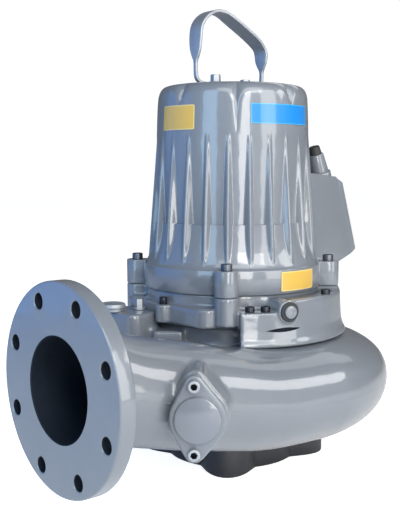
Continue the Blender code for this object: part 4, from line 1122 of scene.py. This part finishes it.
for i, (x, z, half) in enumerate(rows):
    x0, z0, _ = rows[max(i - 1, 0)]
    x1, z1, _ = rows[min(i + 1, len(rows) - 1)]
    along = Vector((x1 - x0, z1 - z0)).normalized()
    across = Vector((-along.y, along.x))
    ring = []
    for sx, sy, start in ((1, 1, 0), (-1, 1, 90), (-1, -1, 180), (1, -1, 270)):
        for k in range(4):
            a = radians(start + 30 * k)
            wide = sy * (half - BAR_EDGE) + BAR_EDGE * sin(a)
            thick = sx * (BAR / 2 - BAR_EDGE) + BAR_EDGE * cos(a)
            ring.append(Vector((x + across.x * thick, wide, CROWN_TOP + GAP + z + across.y * thick)))
    rings.append(ring)
hand_over(skin("lifting_bar", rings), ["lifting_handle"], STAINLESS, 40)

# %% [markdown]
# ## Plates
#
# Two plates sit on the band and one on the collar. They are plain, with only a border. Each is a thin
# rounded rectangle bent round the wall. Every point stores how far it is from the plate's edge, which is
# what the film's border is drawn from.

# %% Bend the plates
def bent_plate(name, first, last, low_z, high_z, radius_low, radius_high, corner, finish, slot, node):
    """A plate of 0.8 mm on a cone, between two angles and two heights, with round corners."""
    arc = (last - first) * radius_low
    tall = high_z - low_z
    columns = 80
    rows = 32
    border = [(0, i) for i in range(columns)] + [(j, columns) for j in range(rows)]
    border += [(rows, i) for i in range(columns, 0, -1)] + [(j, 0) for j in range(rows, 0, -1)]
    mesh = bpy.data.meshes.new(name)
    with edited(mesh) as bm:
        layer = bm.verts.layers.float.new("from_edge")
        sheets = [{}, {}]
        for sheet, lift in zip(sheets, (GAP, 0.0011)):
            for j in range(rows + 1):
                for i in range(columns + 1):
                    u = (i / columns - 0.5) * arc
                    v = (j / rows - 0.5) * tall
                    over_u = max(abs(u) - (arc / 2 - corner), 0)
                    over_v = max(abs(v) - (tall / 2 - corner), 0)
                    out = hypot(over_u, over_v)
                    if out > corner:
                        u -= copysign(over_u * (1 - corner / out), u)
                        v -= copysign(over_v * (1 - corner / out), v)
                        out = corner
                    inset = corner - out if over_u or over_v else min(arc / 2 - abs(u), tall / 2 - abs(v))
                    radius = mix(radius_low, radius_high, v / tall + 0.5) + lift
                    angle = (first + last) / 2 + u / radius_low
                    sheet[j, i] = bm.verts.new(polar(radius, angle, (low_z + high_z) / 2 + v))
                    sheet[j, i][layer] = inset
            for j in range(rows):
                for i in range(columns):
                    bm.faces.new([sheet[spot] for spot in ((j, i), (j, i + 1), (j + 1, i + 1), (j + 1, i))])
        inner, outer = sheets
        for here, after in zip(border, border[1:] + border[:1]):
            bm.faces.new((inner[here], inner[after], outer[after], outer[here]))
        bmesh.ops.recalc_face_normals(bm, faces=bm.faces)
    hand_over(mesh, [node], finish)


def band_radius(z):
    return mix(FIN_TOP[0], 0.1262, (z - FIN_TOP[1]) / 0.060)


bent_plate("upper_yellow_plate", *LABELS[0], 0.551, 0.590, band_radius(0.551), band_radius(0.590), 0.002,
           YELLOW_FILM, "yellow_plate", "upper_label")
bent_plate("blue_band_plate", *LABELS[1], 0.560, 0.591, band_radius(0.560), band_radius(0.591), 0.001,
           BLUE_FILM, "blue_plate", "type_plate")
bent_plate("lower_yellow_plate", radians(259), radians(288), 0.296, 0.327, COLLAR_RADIUS, COLLAR_RADIUS,
           0.002, YELLOW_FILM, "yellow_plate", "lower_label")

# %% [markdown]
# ## Floor, light and camera
#
# The photograph is a studio shot: a pale ground, soft boxes that draw upright strips on the round
# housing, and a cooler light from the left. The strips come from area lights, placed at the angles at
# which the band of the housing mirrors them to the camera. The camera stands where the photograph's
# stood: its place was worked out from the eight holes of the flange.

# %% Floor
floor_mesh = bpy.data.meshes.new("floor")
floor_mesh.from_pydata([(-12, -12, 0), (12, -12, 0), (12, 12, 0), (-12, 12, 0)], [], [(0, 1, 2, 3)])
floor = as_object(floor_mesh)
pale, tree, shader = new_finish("pale studio floor")
# white paper to the camera, a weaker glow to the pump
seen = add(tree, "ShaderNodeLightPath").outputs["Is Camera Ray"]
glow = add(tree, "ShaderNodeMapRange", Value=seen, To_Min=0.06, To_Max=0.85)
wire(shader, Base_Color=(0.9, 0.9, 0.9, 1), Roughness=0.9, Emission_Color=(1, 1, 1, 1),
     Emission_Strength=glow)
floor_mesh.materials.append(pale)

# %% World and lights
world = bpy.data.worlds.new("studio")
bpy.context.scene.world = world
world.use_nodes = True
# the camera sees white paper behind the pump, while the room that lights it is dimmer
seen = add(world.node_tree, "ShaderNodeLightPath").outputs["Is Camera Ray"]
strength = add(world.node_tree, "ShaderNodeMapRange", Value=seen, To_Min=0.17, To_Max=1.1)
wire(world.node_tree.nodes["Background"], Color=(0.93, 0.96, 1, 1), Strength=strength)


def area_lamp(name, width, tall, watts, colour=(1, 1, 1)):
    light = bpy.data.lights.new(name, "AREA")
    light.shape = "RECTANGLE"
    light.size = width
    light.size_y = tall
    light.energy = watts
    light.color = colour
    return as_object(light)


AIM = SHAFT + Vector((0, 0, 0.40))
WHITE = (1.0, 0.99, 0.97)
COOL = (0.95, 0.98, 1.0)
# soft boxes round the pump: azimuth in degrees, distance, height, width and length in metres, watts
for name, azimuth, distance, height, width, tall, watts, colour in (
        ("strip at the left", 195, 2.0, 0.9, 0.75, 1.7, 18, (0.42, 0.70, 1.0)),
        ("strip beside the camera", 245, 2.2, 0.9, 0.62, 1.6, 26, WHITE),
        ("key at the right", 281, 2.0, 0.9, 0.85, 1.7, 21, WHITE),
        ("upper bank", 242, 1.6, 2.0, 2.4, 0.8, 20, COOL),
        ("band for the ramps", 255, 2.0, 1.5, 1.3, 0.35, 10, WHITE),
        ("blue wall", 140, 2.2, 0.7, 2.2, 1.8, 14, (0.03, 0.30, 1.0)),
        ("panel behind the pump", 18, 2.0, 2.1, 1.6, 0.9, 5, COOL)):
    lamp = area_lamp(name, width, tall, watts, colour)
    lamp.location = SHAFT + polar(distance, radians(azimuth), height)
    lamp.rotation_euler = (lamp.location - AIM).to_track_quat("Z", "Y").to_euler()
# one more lamp hangs between two points, so that its image lies along the top of the scroll
end_a = SHAFT + Vector((0.952, -1.584, 1.041))
end_b = SHAFT + Vector((1.170, -0.978, 1.399))
lamp = area_lamp("lamp over the scroll", (end_b - end_a).length, 0.45, 6)
along = (end_b - end_a).normalized()
middle = (end_a + end_b) / 2
away = middle - SHAFT - Vector((-0.1, -0.24, 0.2))
away = (away - along * away.dot(along)).normalized()
pose = Matrix((along, away.cross(along), away)).transposed().to_4x4()
lamp.matrix_world = Matrix.Translation(middle) @ pose
print("lights:", len(bpy.data.lights))

# %% Camera
camera_data = bpy.data.cameras.new("camera")
camera = as_object(camera_data)
azimuth = radians(-40.014)
pitch = radians(5.796)
backward = Vector((sin(azimuth) * cos(pitch), -cos(azimuth) * cos(pitch), sin(pitch)))
camera.location = SHAFT + Vector((-0.999455, -1.104906, 0.489456))
camera.rotation_euler = backward.to_track_quat("Z", "Y").to_euler()
# 866 pixels of focal length on a frame of 513 pixels, on a sensor of 36 mm
camera_data.sensor_fit = "AUTO"
camera_data.sensor_width = 36
camera_data.lens = 866 / 513 * 36
bpy.context.scene.camera = camera
bpy.context.scene.view_settings.view_transform = "Standard"
print("camera at", [round(v, 3) for v in camera.location])
